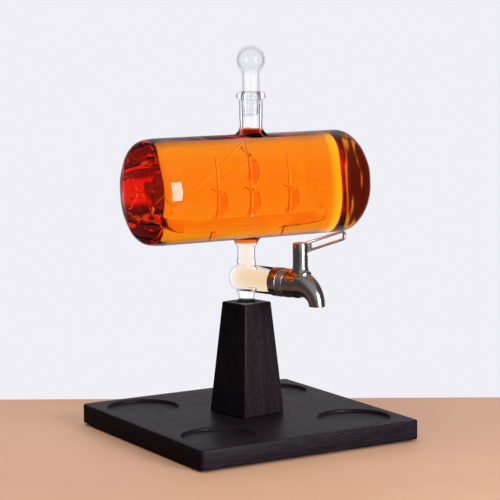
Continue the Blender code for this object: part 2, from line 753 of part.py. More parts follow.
def hull_share_at(along, shares):
    """Read a row of the hull's shares at any place along it."""
    share = (along - HULL_STERN) / (HULL_BOW - HULL_STERN)
    stations = list(zip(HULL_STATION_SHARES, shares))
    for (low, near), (high, far) in zip(stations, stations[1:]):
        if share <= high:
            break
    blend = (share - low) / (high - low)
    return near * (1 - blend) + far * blend


def hull_sheer_at(along):
    """How high the deck's edge is above the midship deck at a place along it."""
    return HULL_SHEER * hull_share_at(along, HULL_SHEER_SHARES)


def make_hull():
    """The glass hull, on two struts that stand on the barrel's floor."""
    rings = [hull_ring(station) for station in range(len(HULL_STATION_SHARES))]
    hull = loft("ship_hull", rings)
    place(hull, "ship_glass", (0.0, 0.0, DECK_HEIGHT), parent=None)
    floor = BARREL_HEIGHT - BARREL_BORE + SEAT_GAP * 2
    for share in STRUT_PLACE_SHARES:
        along = BARREL_HALF * share
        depth = HULL_DEPTH * hull_share_at(along, HULL_DEPTH_SHARES)
        top = DECK_HEIGHT + hull_sheer_at(along) - depth / 2 - floor
        strut = turned("strut_tool", [
            (0.0, top),
            (STRUT_RADIUS, top),
            (STRUT_RADIUS, STRUT_FOOT_HEIGHT),
            (STRUT_FOOT_RADIUS, STRUT_FOOT_HEIGHT / 3),
            (STRUT_FOOT_RADIUS, 0.0),
            (0.0, 0.0),
        ], THREAD_STEPS)
        place(strut, location=(along, 0.0, floor), parent=None)
        add_shapes(hull, strut)
    lantern = turned("lantern_tool", [
        (0.0, LANTERN_RISE),
        *arc(0.0, LANTERN_RISE - LANTERN_RADIUS, LANTERN_RADIUS, 60, -60, CORNER_ARC_STEPS),
        (LANTERN_RADIUS / 2, -HULL_DEPTH / 4),
        (0.0, -HULL_DEPTH / 4),
    ], THREAD_STEPS)
    lantern_place = (HULL_STERN + LANTERN_RADIUS, 0.0, DECK_HEIGHT + HULL_SHEER)
    place(lantern, location=lantern_place, parent=None)
    add_shapes(hull, lantern)


SAIL_COLUMNS = 4
SAIL_ROWS = 4
SAIL_HEAD_BELLY_SHARE = 0.08
SAIL_SIDE_LOSS_SHARE = 0.45


def sail(name, width, height, location):
    """A bellied sail: a curved sheet, thickened, that hangs from its head at the origin."""
    mesh = bpy.data.meshes.new(name)
    shape = bmesh.new()
    grid = []
    for row in range(SAIL_ROWS + 1):
        down = row / SAIL_ROWS
        hang = SAIL_HEAD_BELLY_SHARE + (1 - SAIL_HEAD_BELLY_SHARE) * down
        line = []
        for column in range(SAIL_COLUMNS + 1):
            across = column / SAIL_COLUMNS - 0.5
            belly = math.sin(math.pi * hang) * (1 - (2 * across) ** 2 * SAIL_SIDE_LOSS_SHARE)
            line.append(shape.verts.new((SAIL_BULGE * belly, width * across, -height * down)))
        grid.append(line)
    for upper, lower in zip(grid, grid[1:]):
        for column in range(SAIL_COLUMNS):
            shape.faces.new((upper[column], lower[column], lower[column + 1], upper[column + 1]))
    shape.to_mesh(mesh)
    shape.free()
    item = bpy.data.objects.new(name, mesh)
    shell = item.modifiers.new("thickness", "SOLIDIFY")
    shell.thickness = SAIL_THICKNESS
    shell.offset = 0.0
    return place(item, location=location, parent=None)


def make_mast(name, along, rise, sails):
    """A mast with its yards and sails, fused together. Sails are (head, width, height)."""
    foot = DECK_HEIGHT + hull_sheer_at(along) + SEAT_GAP
    top = BARREL_HEIGHT + rise - foot
    mast = turned(name, [
        (0.0, top),
        (MAST_TIP_RADIUS, top - MAST_TIP_RADIUS),
        (MAST_RADIUS, top / 2),
        (MAST_RADIUS, 0.0),
        (0.0, 0.0),
    ], THREAD_STEPS)
    place(mast, "ship_glass", (along, 0.0, foot), parent=None)
    for head, width, height in sails:
        yard_length = width / 2 + YARD_OVERHANG
        yard = turned("yard_tool", rod_profile(YARD_RADIUS, yard_length, -yard_length), THREAD_STEPS)
        place(yard, location=(along, 0.0, BARREL_HEIGHT + head), rotation=ALONG_TAP, parent=None)
        cloth = sail("sail_tool", width, height, (along, 0.0, BARREL_HEIGHT + head))
        add_shapes(mast, yard, cloth)


def make_masts():
    """The three masts, the tallest one under the neck."""
    mainsail = (MAINSAIL_HEAD, MAINSAIL_WIDTH, MAINSAIL_HEIGHT)
    topsail = (TOPSAIL_HEAD, TOPSAIL_WIDTH, TOPSAIL_HEIGHT)
    make_mast("ship_main_mast", MAIN_MAST_PLACE, MAIN_MAST_RISE, (mainsail, topsail))
    make_mast("ship_aft_mast", AFT_MAST_PLACE, AFT_MAST_RISE, (mainsail,))
    make_mast("ship_fore_mast", FORE_MAST_PLACE, FORE_MAST_RISE, (mainsail,))


def bowsprit_ends():
    """The two ends of the spar's middle line."""
    root = HULL_BOW - BOWSPRIT_LENGTH / 2
    lift = hull_sheer_at(HULL_BOW) + BOWSPRIT_RADIUS + SEAT_GAP
    start = Vector((root, 0.0, DECK_HEIGHT + lift))
    return start, start + Vector((BOWSPRIT_LENGTH, 0.0, BOWSPRIT_RISE))


def make_bowsprit():
    """The spar over the bow."""
    spar = tube("ship_bowsprit", bowsprit_ends(), [BOWSPRIT_RADIUS, BOWSPRIT_RADIUS / 2])
    place(spar, "ship_glass", parent=None)


def stay_ends():
    """The glass threads between the masts and the hull's ends, as pairs of points."""
    stern = Vector((HULL_STERN + LANTERN_RADIUS, 0.0, DECK_HEIGHT + HULL_SHEER + LANTERN_RISE))
    bow = bowsprit_ends()[1] + Vector((0.0, 0.0, BOWSPRIT_RADIUS))

    def on_mast(along, rise):
        return Vector((along, 0.0, BARREL_HEIGHT + rise))

    return {
        "ship_stay_main_upper": (
            on_mast(MAIN_MAST_PLACE, MAIN_MAST_RISE), on_mast(AFT_MAST_PLACE, STAY_UPPER_RISE)),
        "ship_stay_main_lower": (
            on_mast(MAIN_MAST_PLACE, STAY_LOWER_HEAD), on_mast(AFT_MAST_PLACE, STAY_LOWER_RISE)),
        "ship_stay_aft": (on_mast(AFT_MAST_PLACE, STAY_UPPER_RISE), stern),
        "ship_stay_fore": (on_mast(FORE_MAST_PLACE, STAY_FORE_RISE), bow),
    }


def make_stays():
    """The glass threads, each a hair clear of what it joins."""
    for name, (start, end) in stay_ends().items():
        run = (end - start).normalized()
        margin = MAST_RADIUS + STAY_RADIUS + SEAT_GAP
        first = start + run * margin
        last = end - run * margin
        thread = tube(name, [first, last], [STAY_RADIUS, STAY_RADIUS], bevel_resolution=1)
        place(thread, "ship_glass", parent=None)


def tap_piece(name, profile, finish, steps=TUBE_STEPS, closed=False):
    """A turned piece on the level tube's axis, with heights measured towards the spout."""
    item = turned(name, profile, steps, closed)
    return place(item, finish, (0.0, 0.0, CROSS_HEIGHT), ALONG_TAP)


def make_ferrule():
    """The steel ring over the mouth of the level tube."""
    sleeve_bore = CROSS_RADIUS + SEAT_GAP
    tap_piece("tap_ferrule", [
        (FERRULE_RADIUS - FERRULE_EDGE, FERRULE_END),
        (FERRULE_RADIUS, FERRULE_END - FERRULE_EDGE),
        (FERRULE_RADIUS, FERRULE_START),
        (sleeve_bore, FERRULE_START),
        (sleeve_bore, CROSS_FRONT + SEAT_GAP),
        (TAP_SHANK_RADIUS + SEAT_GAP, CROSS_FRONT + SEAT_GAP),
        (TAP_SHANK_RADIUS + SEAT_GAP, FERRULE_END),
    ], "steel", closed=True)


def make_gasket():
    """The silicone ring between the ferrule and the lock ring."""
    tap_piece("tap_gasket", ring_profile(
        GASKET_RADIUS, TAP_SHANK_RADIUS + SEAT_GAP,
        GASKET_START + GASKET_LENGTH, GASKET_START), "silicone", closed=True)


def make_lock_ring():
    """The grooved steel ring that draws the tap up to the glass."""
    end = LOCK_RING_START + LOCK_RING_LENGTH
    pitch = LOCK_RING_LENGTH / LOCK_RING_RIDGES
    outside = [(LOCK_RING_RADIUS - LOCK_RING_GROOVE, end)]
    for number in range(LOCK_RING_RIDGES):
        top = end - pitch * number
        outside += [
            (LOCK_RING_RADIUS, top - LOCK_RING_GROOVE),
            (LOCK_RING_RADIUS, top - pitch + LOCK_RING_GROOVE),
            (LOCK_RING_RADIUS - LOCK_RING_GROOVE, top - pitch),
        ]
    bore = TAP_SHANK_RADIUS + SEAT_GAP
    tap_piece("tap_lock_ring", outside + [(bore, LOCK_RING_START), (bore, end)], "steel", closed=True)


def make_bung():
    """The silicone bung that seals the level tube round the tap's shank, with its nut's pocket."""
    radius = CROSS_BORE - SEAT_GAP
    bore = TAP_SHANK_RADIUS + SEAT_GAP
    pocket = SHANK_NUT_RADIUS + SEAT_GAP
    pocket_floor = SHANK_NUT_END + SEAT_GAP
    tap_piece("tap_bung", [
        (radius, BUNG_END),
        (radius, BUNG_END - BUNG_LENGTH / 4),
        (radius - BUNG_WAIST, BUNG_END - BUNG_LENGTH / 2),
        (radius, BUNG_START + BUNG_LENGTH / 4),
        (radius, BUNG_START),
        (pocket, BUNG_START),
        (pocket, pocket_floor),
        (bore, pocket_floor),
        (bore, BUNG_END),
    ], "silicone", closed=True)


def make_shank_nut():
    """The hexagon nut in the bung's back, which squeezes it against the glass."""
    bore = TAP_SHANK_RADIUS + SEAT_GAP
    ring = ring_profile(SHANK_NUT_RADIUS, bore, SHANK_NUT_END, SHANK_NUT_END - SHANK_NUT_LENGTH)
    nut = tap_piece("tap_shank_nut", ring, "steel", TUBE_STEPS, True)
    flats = rod_profile(SHANK_NUT_RADIUS, SHANK_NUT_END + OVERRUN, 0.0)
    hexagon = turned("hexagon_tool", flats, HEXAGON_SIDES)
    place(hexagon, location=(0.0, 0.0, CROSS_HEIGHT), rotation=ALONG_TAP)
    combine(nut, hexagon, "INTERSECT")


SPOUT_TAPER_POWER = 1.2


def spout_path(start, overrun=0.0):
    """Points down the middle of the tap: straight to the tower, then round and down."""
    points = [Vector((0.0, -start, CROSS_HEIGHT))]
    for index in range(BEND_STEPS + 1):
        angle = math.pi / 2 * index / BEND_STEPS
        forward = TOWER_PLACE + SPOUT_REACH * math.sin(angle)
        down = SPOUT_DROP * (1 - math.cos(angle))
        points.append(Vector((0.0, -forward, CROSS_HEIGHT - down)))
    if overrun:
        points.append(points[-1] - Vector((0.0, 0.0, overrun)))
    return points


def tap_shank():
    """The threaded shank that goes through the bung, and the collar in front of the lock ring."""
    return tap_piece("tap_shank_tool", [
        (0.0, BODY_START + BODY_COLLAR_LENGTH * 2),
        (BODY_RADIUS - FERRULE_EDGE, BODY_START + BODY_COLLAR_LENGTH * 2),
        (BODY_COLLAR_RADIUS, BODY_START + BODY_COLLAR_LENGTH),
        (BODY_COLLAR_RADIUS, BODY_START + FERRULE_EDGE),
        (BODY_COLLAR_RADIUS - FERRULE_EDGE, BODY_START - SEAT_GAP / 2),
        (TAP_SHANK_RADIUS, BODY_START - SEAT_GAP / 2),
        (TAP_SHANK_RADIUS, TAP_SHANK_START),
        (0.0, TAP_SHANK_START),
    ], None)


def tower_outside():
    """The valve tower, flared where it grows out of the body."""
    return turned("tower_tool", [
        (0.0, TOWER_RISE),
        (TOWER_RADIUS, TOWER_RISE),
        (TOWER_RADIUS, BODY_RADIUS + TOWER_FLARE),
        (TOWER_RADIUS + TOWER_FLARE / 4, BODY_RADIUS + TOWER_FLARE / 4),
        (TOWER_RADIUS + TOWER_FLARE, BODY_RADIUS - TOWER_FLARE),
        (TOWER_RADIUS, 0.0),
        (0.0, 0.0),
    ])


def make_tap_body():
    """The tap's casting: shank, body, bent spout and valve tower, bored for the spirit."""
    tower_place = (0.0, -TOWER_PLACE, CROSS_HEIGHT)
    radii = [BODY_RADIUS]
    for index in range(BEND_STEPS + 1):
        share = math.sin(math.pi / 2 * index / BEND_STEPS) ** SPOUT_TAPER_POWER
        radii.append(BODY_RADIUS + (SPOUT_RADIUS - BODY_RADIUS) * share)
    body = tube("tap_body", spout_path(BODY_START), radii, bevel_resolution=9)
    place(body, "steel")
    stop = sector("stop_tool", TOWER_BORE + TOWER_WALL / 5, TOWER_RADIUS - TOWER_WALL / 5,
                  TOWER_RISE - STOP_HEIGHT, TOWER_RISE + STOP_HEIGHT,
                  STOP_ANGLE - STOP_WIDTH_ANGLE / 2, STOP_ANGLE + STOP_WIDTH_ANGLE / 2)
    add_shapes(body, tap_shank(), place(tower_outside(), location=tower_place))
    add_shapes(body, place(stop, location=tower_place))
    shank_bore = rod_profile(TAP_SHANK_BORE, TOWER_PLACE, TAP_SHANK_START - OVERRUN)
    valve_bore = rod_profile(TOWER_BORE, TOWER_RISE + OVERRUN, -VALVE_DROP - SEAT_GAP)
    passage_path = spout_path(TOWER_PLACE - VALVE_RADIUS / 2, OVERRUN)
    widening = len(passage_path) - 3
    passage_radii = [PASSAGE_RADIUS] * 3
    for index in range(widening):
        share = (index + 1) / widening
        passage_radii.append(PASSAGE_RADIUS + (SPOUT_BORE - PASSAGE_RADIUS) * share)
    cut_shapes(
        body,
        tap_piece("shank_bore_tool", shank_bore, None, SMALL_STEPS),
        place(tube("passage_tool", passage_path, passage_radii, bevel_resolution=4)),
        place(turned("valve_bore_tool", valve_bore), location=tower_place, rotation=HALF_STEP_TURN),
    )


def sector(name, inner, outer, bottom, top, start, end):
    """A block between two radii and two angles, made from a flat curve."""
    curve = bpy.data.curves.new(name + "_outline", "CURVE")
    curve.dimensions = "2D"
    curve.fill_mode = "BOTH"
    curve.extrude = (top - bottom) / 2
    steps = max(2, math.ceil((end - start) / SECTOR_STEP_ANGLE))
    angles = [start + (end - start) * index / steps for index in range(steps + 1)]
    points = [(outer * math.cos(angle), outer * math.sin(angle)) for angle in angles]
    points += [(inner * math.cos(angle), inner * math.sin(angle)) for angle in reversed(angles)]
    spline = curve.splines.new("POLY")
    spline.points.add(len(points) - 1)
    for knot, point in zip(spline.points, points):
        knot.co = (*point, 0.0, 1.0)
    spline.use_cyclic_u = True
    solid = as_mesh(bpy.data.objects.new(name + "_outline", curve), name)
    solid.data.transform(Matrix.Translation((0.0, 0.0, (bottom + top) / 2)))
    return solid


ORING_ARC_STEPS = 5


def make_valve():
    """The turning plug with its cross port, its two seal grooves and its stem."""
    groove = VALVE_RADIUS - ORING_GROOVE_DEPTH
    half_groove = ORING_RADIUS + SEAT_GAP
    outside = [
        (0.0, STEM_RISE),
        (STEM_RADIUS, STEM_RISE),
        (STEM_RADIUS, VALVE_SHOULDER),
        (VALVE_RADIUS, VALVE_SHOULDER),
    ]
    for number in (1, 0):
        middle = ORING_FIRST_RISE + ORING_PITCH * number
        outside += [
            (VALVE_RADIUS, middle + half_groove),
            (groove, middle + half_groove),
            (groove, middle - half_groove),
            (VALVE_RADIUS, middle - half_groove),
        ]
    outside += [(VALVE_RADIUS, -VALVE_DROP), (0.0, -VALVE_DROP)]
    tower_place = (0.0, -TOWER_PLACE, CROSS_HEIGHT)
    valve = turned("valve_plug", outside, TUBE_STEPS)
    place(valve, "steel", tower_place)
    through = VALVE_RADIUS + OVERRUN
    port = turned("port_tool", rod_profile(VALVE_PORT_RADIUS, through, -through), SMALL_STEPS)
    place(port, location=tower_place, rotation=ALONG_BARREL)
    hole_floor = CAP_TOP - CROSS_HEIGHT - CAP_SCREW_LENGTH - SEAT_GAP * 2
    hole_profile = rod_profile(CAP_SCREW_RADIUS + SEAT_GAP, STEM_RISE + OVERRUN, hole_floor)
    screw_hole = turned("cap_screw_hole", hole_profile, THREAD_STEPS)
    place(screw_hole, location=tower_place)
    cut_shapes(valve, port, screw_hole)
    for number in (0, 1):
        middle = ORING_FIRST_RISE + ORING_PITCH * number
        ring = arc(VALVE_RADIUS - ORING_RADIUS, middle, ORING_RADIUS, 90, -210, ORING_ARC_STEPS)
        seal = turned(f"stem_seal_{number + 1}", ring, SMALL_STEPS, closed=True)
        place(seal, "black_rubber", tower_place)


def make_gland():
    """The ring in the top of the tower that keeps the plug down."""
    ring = ring_profile(TOWER_BORE - SEAT_GAP, STEM_RADIUS + SEAT_GAP, GLAND_TOP, GLAND_TOP - GLAND_HEIGHT)
    gland = turned("gland_ring", ring, SMALL_STEPS, closed=True)
    place(gland, "steel", (0.0, -TOWER_PLACE, CROSS_HEIGHT))


def make_cap():
    """The turning cap on the stem, with the lever's slot and the quarter-turn stop slot."""
    stem_bore = STEM_RADIUS + SEAT_GAP
    hole = CAP_SCREW_RADIUS + SEAT_GAP
    head = CAP_SCREW_HEAD + SEAT_GAP
    sink = CAP_SCREW_HEAD_HEIGHT + SEAT_GAP
    cap = turned("tap_cap", [
        (TOWER_RADIUS - CAP_EDGE, CAP_HEIGHT),
        (TOWER_RADIUS, CAP_HEIGHT - CAP_EDGE),
        (TOWER_RADIUS, 0.0),
        (stem_bore, 0.0),
        (stem_bore, CAP_HOLLOW),
        (hole, CAP_HOLLOW),
        (hole, CAP_HEIGHT - sink),
        (head, CAP_HEIGHT - SEAT_GAP),
        (head, CAP_HEIGHT),
    ], TUBE_STEPS, closed=True)
    cap_place = (0.0, -TOWER_PLACE, CAP_BOTTOM)
    place(cap, "steel", cap_place)
    half = STOP_WIDTH_ANGLE / 2 + STOP_SLACK_ANGLE
    stop_slot = sector("stop_slot_tool", TOWER_BORE, TOWER_RADIUS + OVERRUN,
                       -OVERRUN, STOP_HEIGHT + SEAT_GAP, STOP_ANGLE - half, STOP_ANGLE + half + OPEN_TURN)
    place(stop_slot, location=cap_place)
    lever_slot = box("lever_slot_tool", (
        TOWER_RADIUS + OVERRUN, LEVER_THICKNESS + SEAT_GAP * 2, TONGUE_HEIGHT + SEAT_GAP * 2))
    lever_slot.data.transform(Matrix.Translation(
        (LEVER_SEAT - SEAT_GAP + (TOWER_RADIUS + OVERRUN) / 2, 0.0, 0.0)))
    slot_turn = (0.0, -LEVER_RISE, LEVER_TURN)
    place(lever_slot, location=(0.0, -TOWER_PLACE, LEVER_ROOT_HEIGHT), rotation=slot_turn)
    cut_shapes(cap, stop_slot, lever_slot)


def make_cap_screw():
    """The countersunk screw that holds the cap on the stem."""
    screw = turned("cap_screw", [
        (0.0, 0.0),
        (CAP_SCREW_HEAD, 0.0),
        (CAP_SCREW_HEAD, -SEAT_GAP),
        (CAP_SCREW_RADIUS, -CAP_SCREW_HEAD_HEIGHT),
        (CAP_SCREW_RADIUS, -CAP_SCREW_LENGTH),
        (0.0, -CAP_SCREW_LENGTH),
    ], THREAD_STEPS)
    place(screw, "screw_steel", (0.0, -TOWER_PLACE, CAP_TOP - SEAT_GAP))


def stadium(left, right, half_height):
    """The outline of a bar with a round right end and a square left end."""
    points = [(left, -half_height)]
    centre = right - half_height
    for index in range(BEND_STEPS + 1):
        angle = math.pi * (index / BEND_STEPS - 0.5)
        points.append((centre + half_height * math.cos(angle), half_height * math.sin(angle)))
    points.append((left, half_height))
    return points


def make_lever():
    """The slotted lever, whose tongue sits in the cap."""
    half = LEVER_HEIGHT / 2 - LEVER_ROUNDING
    slot_half = LEVER_HEIGHT / 2 - LEVER_BAR + LEVER_ROUNDING
    tongue_half = TONGUE_HEIGHT / 2 - LEVER_ROUNDING
    shoulder = TOWER_RADIUS + SEAT_GAP + LEVER_ROUNDING * 2
    outside = stadium(shoulder, LEVER_REACH - LEVER_ROUNDING, half)
    outside += [
        (shoulder, tongue_half),
        (LEVER_SEAT + LEVER_ROUNDING, tongue_half),
        (LEVER_SEAT + LEVER_ROUNDING, -tongue_half),
        (shoulder, -tongue_half),
    ]
    slot = stadium(LEVER_WEB, LEVER_REACH - LEVER_BAR + LEVER_ROUNDING, slot_half)
    curve = bpy.data.curves.new("lever_outline", "CURVE")
    curve.dimensions = "2D"
    curve.fill_mode = "BOTH"
    curve.extrude = LEVER_THICKNESS / 2 - LEVER_ROUNDING
    curve.bevel_depth = LEVER_ROUNDING
    curve.bevel_resolution = 1
    for points in (outside, slot):
        spline = curve.splines.new("POLY")
        spline.points.add(len(points) - 1)
        for knot, point in zip(spline.points, points):
            knot.co = (*point, 0.0, 1.0)
        spline.use_cyclic_u = True
    lever = as_mesh(bpy.data.objects.new("lever_outline", curve), "tap_lever")
    stand_up = (math.pi / 2, -LEVER_RISE, LEVER_TURN)
    place(lever, "steel", (0.0, -TOWER_PLACE, LEVER_ROOT_HEIGHT), stand_up)


def shade_round(limit=math.radians(35)):
    """Shade the parts smooth, with their sharper edges kept."""
    for item in PARTS.objects:
        if item.type == "MESH":
            item.data.shade_smooth()
            item.data.set_sharp_from_angle(angle=limit)


make_board()
make_feet()
make_pillar()
make_pillar_screw()
make_sleeve()
make_vessel()
make_stopper()
make_hull()
make_masts()
make_bowsprit()
make_stays()
make_ferrule()
make_gasket()
make_lock_ring()
make_bung()
make_shank_nut()
make_tap_body()
make_valve()
make_gland()
make_cap()
make_cap_screw()
make_lever()
shade_round()
bpy.context.view_layer.update()
print(len([item for item in PARTS.objects if item.type == "MESH"]), "parts")
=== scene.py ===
# %% [markdown]
# A glass decanter in the shape of a lying barrel, with a glass ship inside and a steel tap.
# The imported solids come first, as a frame in metres. They give every piece its place, and the
# bodies that move it. Each visible piece is then made again, finer, where its solid is, because
# a solid with few faces can't bend light the way that blown glass or turned steel does.

# %% Load the solids
import math

import bmesh
import bpy
from mathutils import Matrix, Vector, noise


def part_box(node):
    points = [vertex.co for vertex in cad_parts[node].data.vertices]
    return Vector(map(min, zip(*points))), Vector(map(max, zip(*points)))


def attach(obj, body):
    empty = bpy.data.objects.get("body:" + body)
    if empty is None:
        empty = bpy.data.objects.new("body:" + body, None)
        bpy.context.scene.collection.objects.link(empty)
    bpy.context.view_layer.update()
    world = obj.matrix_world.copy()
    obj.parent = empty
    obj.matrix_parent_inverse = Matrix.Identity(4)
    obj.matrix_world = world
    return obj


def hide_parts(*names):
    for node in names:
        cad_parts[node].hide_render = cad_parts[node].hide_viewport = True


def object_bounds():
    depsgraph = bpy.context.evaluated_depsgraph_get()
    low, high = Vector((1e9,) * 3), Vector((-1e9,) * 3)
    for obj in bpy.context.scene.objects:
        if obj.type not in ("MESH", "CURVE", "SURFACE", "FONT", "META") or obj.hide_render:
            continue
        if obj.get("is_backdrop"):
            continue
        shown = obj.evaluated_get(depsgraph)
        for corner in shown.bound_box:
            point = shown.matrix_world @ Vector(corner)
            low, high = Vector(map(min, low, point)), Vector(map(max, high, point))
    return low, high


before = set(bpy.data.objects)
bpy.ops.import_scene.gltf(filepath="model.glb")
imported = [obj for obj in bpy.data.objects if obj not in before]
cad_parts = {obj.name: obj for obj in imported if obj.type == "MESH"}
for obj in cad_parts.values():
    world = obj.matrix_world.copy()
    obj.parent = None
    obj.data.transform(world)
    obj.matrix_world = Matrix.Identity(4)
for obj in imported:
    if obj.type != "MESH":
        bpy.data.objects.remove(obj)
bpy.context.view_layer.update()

# %% [markdown]
# The camera stands where the picture was taken from: a long lens 1.9 m away, 31 degrees round
# from the front and looking down by 7.6 degrees. A camera could be aimed with a constraint, but
# three directions written into its matrix say the same thing and hold the small roll as well.

# %% Camera
VIEW_AZIMUTH = math.radians(-31.035)
VIEW_DROP = math.radians(7.603)
VIEW_ROLL = math.radians(-0.257)
VIEW_DISTANCE = 1.86612
VIEW_HEIGHT = 0.17634
VIEW_ASIDE = 0.00351
SENSOR_WIDTH = 36.0
LENS_SHARE = 3.94106

aside = Vector((math.cos(VIEW_AZIMUTH), math.sin(VIEW_AZIMUTH), 0.0))
ahead = Vector((-math.sin(VIEW_AZIMUTH), math.cos(VIEW_AZIMUTH), 0.0))
forward = ahead * math.cos(VIEW_DROP) - Vector((0.0, 0.0, math.sin(VIEW_DROP)))
above = aside.cross(forward)
camera_right = aside * math.cos(VIEW_ROLL) + above * math.sin(VIEW_ROLL)
camera_up = above * math.cos(VIEW_ROLL) - aside * math.sin(VIEW_ROLL)
camera_place = Vector((0.0, 0.0, VIEW_HEIGHT)) + aside * VIEW_ASIDE - forward * VIEW_DISTANCE


def placed(name, data):
    """A new object in the scene."""
    item = bpy.data.objects.new(name, data)
    bpy.context.scene.collection.objects.link(item)
    return item


camera = placed("camera", bpy.data.cameras.new("camera"))
camera.data.sensor_width = SENSOR_WIDTH
camera.data.lens = SENSOR_WIDTH * LENS_SHARE
camera.data.clip_start = 0.05
turn = Matrix((camera_right, camera_up, -forward)).transposed().to_4x4()
camera.matrix_world = Matrix.Translation(camera_place) @ turn
bpy.context.scene.camera = camera
print("camera at", [round(value, 3) for value in camera_place])

# %% [markdown]
# Most pieces are round, as blown glass and turned steel are. Each starts as a profile of
# (radius, height) points that is turned about an axis. A Screw modifier would do that too, but
# points written out in code leave a plain mesh that the Boolean steps can use at once.

# %% Turned shapes
UPRIGHT = Matrix.Identity(4)
ALONG_BARREL = Matrix.Rotation(math.pi / 2, 4, "Y")
ALONG_TAP = Matrix.Rotation(math.pi / 2, 4, "X")
PILLAR_TURN = Matrix.Rotation(math.radians(11), 4, "Z")
TAP_TURN = Matrix.Rotation(math.radians(18), 4, "Z")
AXIS_WIDTH = 1e-7


def moved(x=0.0, y=0.0, z=0.0, turn=UPRIGHT):
    """A place: first turned, then moved."""
    return Matrix.Translation((x, y, z)) @ turn


def mesh_of(points, faces):
    """A mesh from plain lists."""
    mesh = bpy.data.meshes.new("shape")
    mesh.from_pydata([tuple(point) for point in points], [], faces)
    return mesh


def turned(profile, steps=128, at=UPRIGHT, closed=False):
    """Turn a profile about Z. It runs down the outer side, and a closed one comes up the bore."""
    points = []
    rows = []
    for radius, height in profile:
        count = 1 if radius < AXIS_WIDTH else steps
        rows.append([len(points) + index for index in range(count)])
        for index in range(count):
            angle = math.tau * index / steps
            points.append((radius * math.cos(angle), radius * math.sin(angle), height))
    faces = []
    for upper, lower in list(zip(rows, rows[1:])) + ([(rows[-1], rows[0])] if closed else []):
        for index in range(steps):
            after = (index + 1) % steps
            corners = [upper[index % len(upper)], lower[index % len(lower)],
                       lower[after % len(lower)], upper[after % len(upper)]]
            corners = list(dict.fromkeys(corners))
            if len(corners) > 2:
                faces.append(corners)
    mesh = mesh_of(points, faces)
    mesh.transform(at)
    return mesh


def arc(across, height, radius, start, end, steps=12):
    """Points of a profile on an arc, with angles in degrees from the outward direction."""
    angles = [math.radians(start + (end - start) * index / steps) for index in range(steps + 1)]
    return [(across + radius * math.cos(angle), height + radius * math.sin(angle))
            for angle in angles]


def softened(profile, cut, steps=3, closed=False):
    """Round a profile's corners, each from a cut before it to a cut after it."""
    count = len(profile)
    result = []
    for index, corner in enumerate(profile):
        if not closed and index in (0, count - 1):
            result.append(corner)
            continue
        here = Vector(corner)
        back = Vector(profile[index - 1]) - here
        onward = Vector(profile[(index + 1) % count]) - here
        near = min(cut, back.length / 2.2, onward.length / 2.2)
        start = here + back.normalized() * near
        end = here + onward.normalized() * near
        for step in range(steps + 1):
            share = step / steps
            point = start * (1 - share) ** 2 + here * 2 * share * (1 - share) + end * share ** 2
            result.append((max(point.x, 0.0), point.y))
    return result

# %% [markdown]
# Glass parts are melted together and a tap is drilled, so whole pieces come from Booleans. The
# manifold solver is quick on closed meshes and keeps each tool's material, which later tells
# the wet faces inside the glass from the dry ones outside. Every finished piece then goes
# through one function, which shades it and hands it to the body that moves it.

# %% Booleans and finished pieces
def baked(item):
    """The mesh that an object ends up with. The object itself is removed."""
    bpy.context.view_layer.update()
    mesh = bpy.data.meshes.new_from_object(
        item.evaluated_get(bpy.context.evaluated_depsgraph_get()))
    bpy.data.objects.remove(item, do_unlink=True)
    return mesh


def combined(base, tools, operation="UNION"):
    """Join the tools with the base, or cut them out of it."""
    item = placed("base", base)
    helpers = []
    for tool in tools:
        helpers.append(placed("tool", tool))
        step = item.modifiers.new("step", "BOOLEAN")
        step.solver = "MANIFOLD"
        step.operation = operation
        step.material_mode = "TRANSFER"
        step.object = helpers[-1]
    result = baked(item)
    for helper in helpers:
        bpy.data.objects.remove(helper, do_unlink=True)
    return result


def open_edges(mesh):
    """How many edges of a mesh don't have exactly two faces."""
    shape = bmesh.new()
    shape.from_mesh(mesh)
    loose = sum(len(edge.link_faces) != 2 for edge in shape.edges)
    shape.free()
    return loose


def set_piece(name, mesh, finishes, body, nodes, sharp=35, turn=UPRIGHT):
    """Make the object, shade it, give it its finishes, and hand it to its body."""
    mesh.transform(turn)
    mesh.name = name
    if finishes:
        mesh.materials.clear()
        for finish in finishes:
            mesh.materials.append(finish)
    mesh.shade_smooth()
    mesh.set_sharp_from_angle(angle=math.radians(sharp))
    piece = placed(name, mesh)
    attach(piece, body)
    if nodes:
        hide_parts(*nodes)
    print(f"{name}: {len(mesh.polygons)} faces, open edges {open_edges(mesh)}")

# %% [markdown]
# Every finish is a node tree round one Principled shader. A small helper adds a node and wires
# it, so that a finish reads as a short list of steps. Another adds noise that can be stretched
# along the grain, because wood fibre, polishing marks and faint glass streaks all are noise
# that runs one way.

# %% Finish helpers
def new_finish(name, **settings):
    """A material with its Principled shader's own sockets set."""
    material = bpy.data.materials.new(name)
    material.use_nodes = True
    shader = material.node_tree.nodes["Principled BSDF"]
    for socket, value in settings.items():
        shader.inputs[socket.replace("_", " ")].default_value = value
    print("finish:", name)
    return material, material.node_tree, shader


def add_node(tree, kind, inputs=(), **settings):
    """One node, with its settings and its inputs, which are values or other nodes' outputs."""
    node = tree.nodes.new(kind)
    for name, value in settings.items():
        setattr(node, name, value)
    for name, value in dict(inputs).items():
        if isinstance(value, bpy.types.NodeSocket):
            tree.links.new(value, node.inputs[name])
        else:
            node.inputs[name].default_value = value
    return node


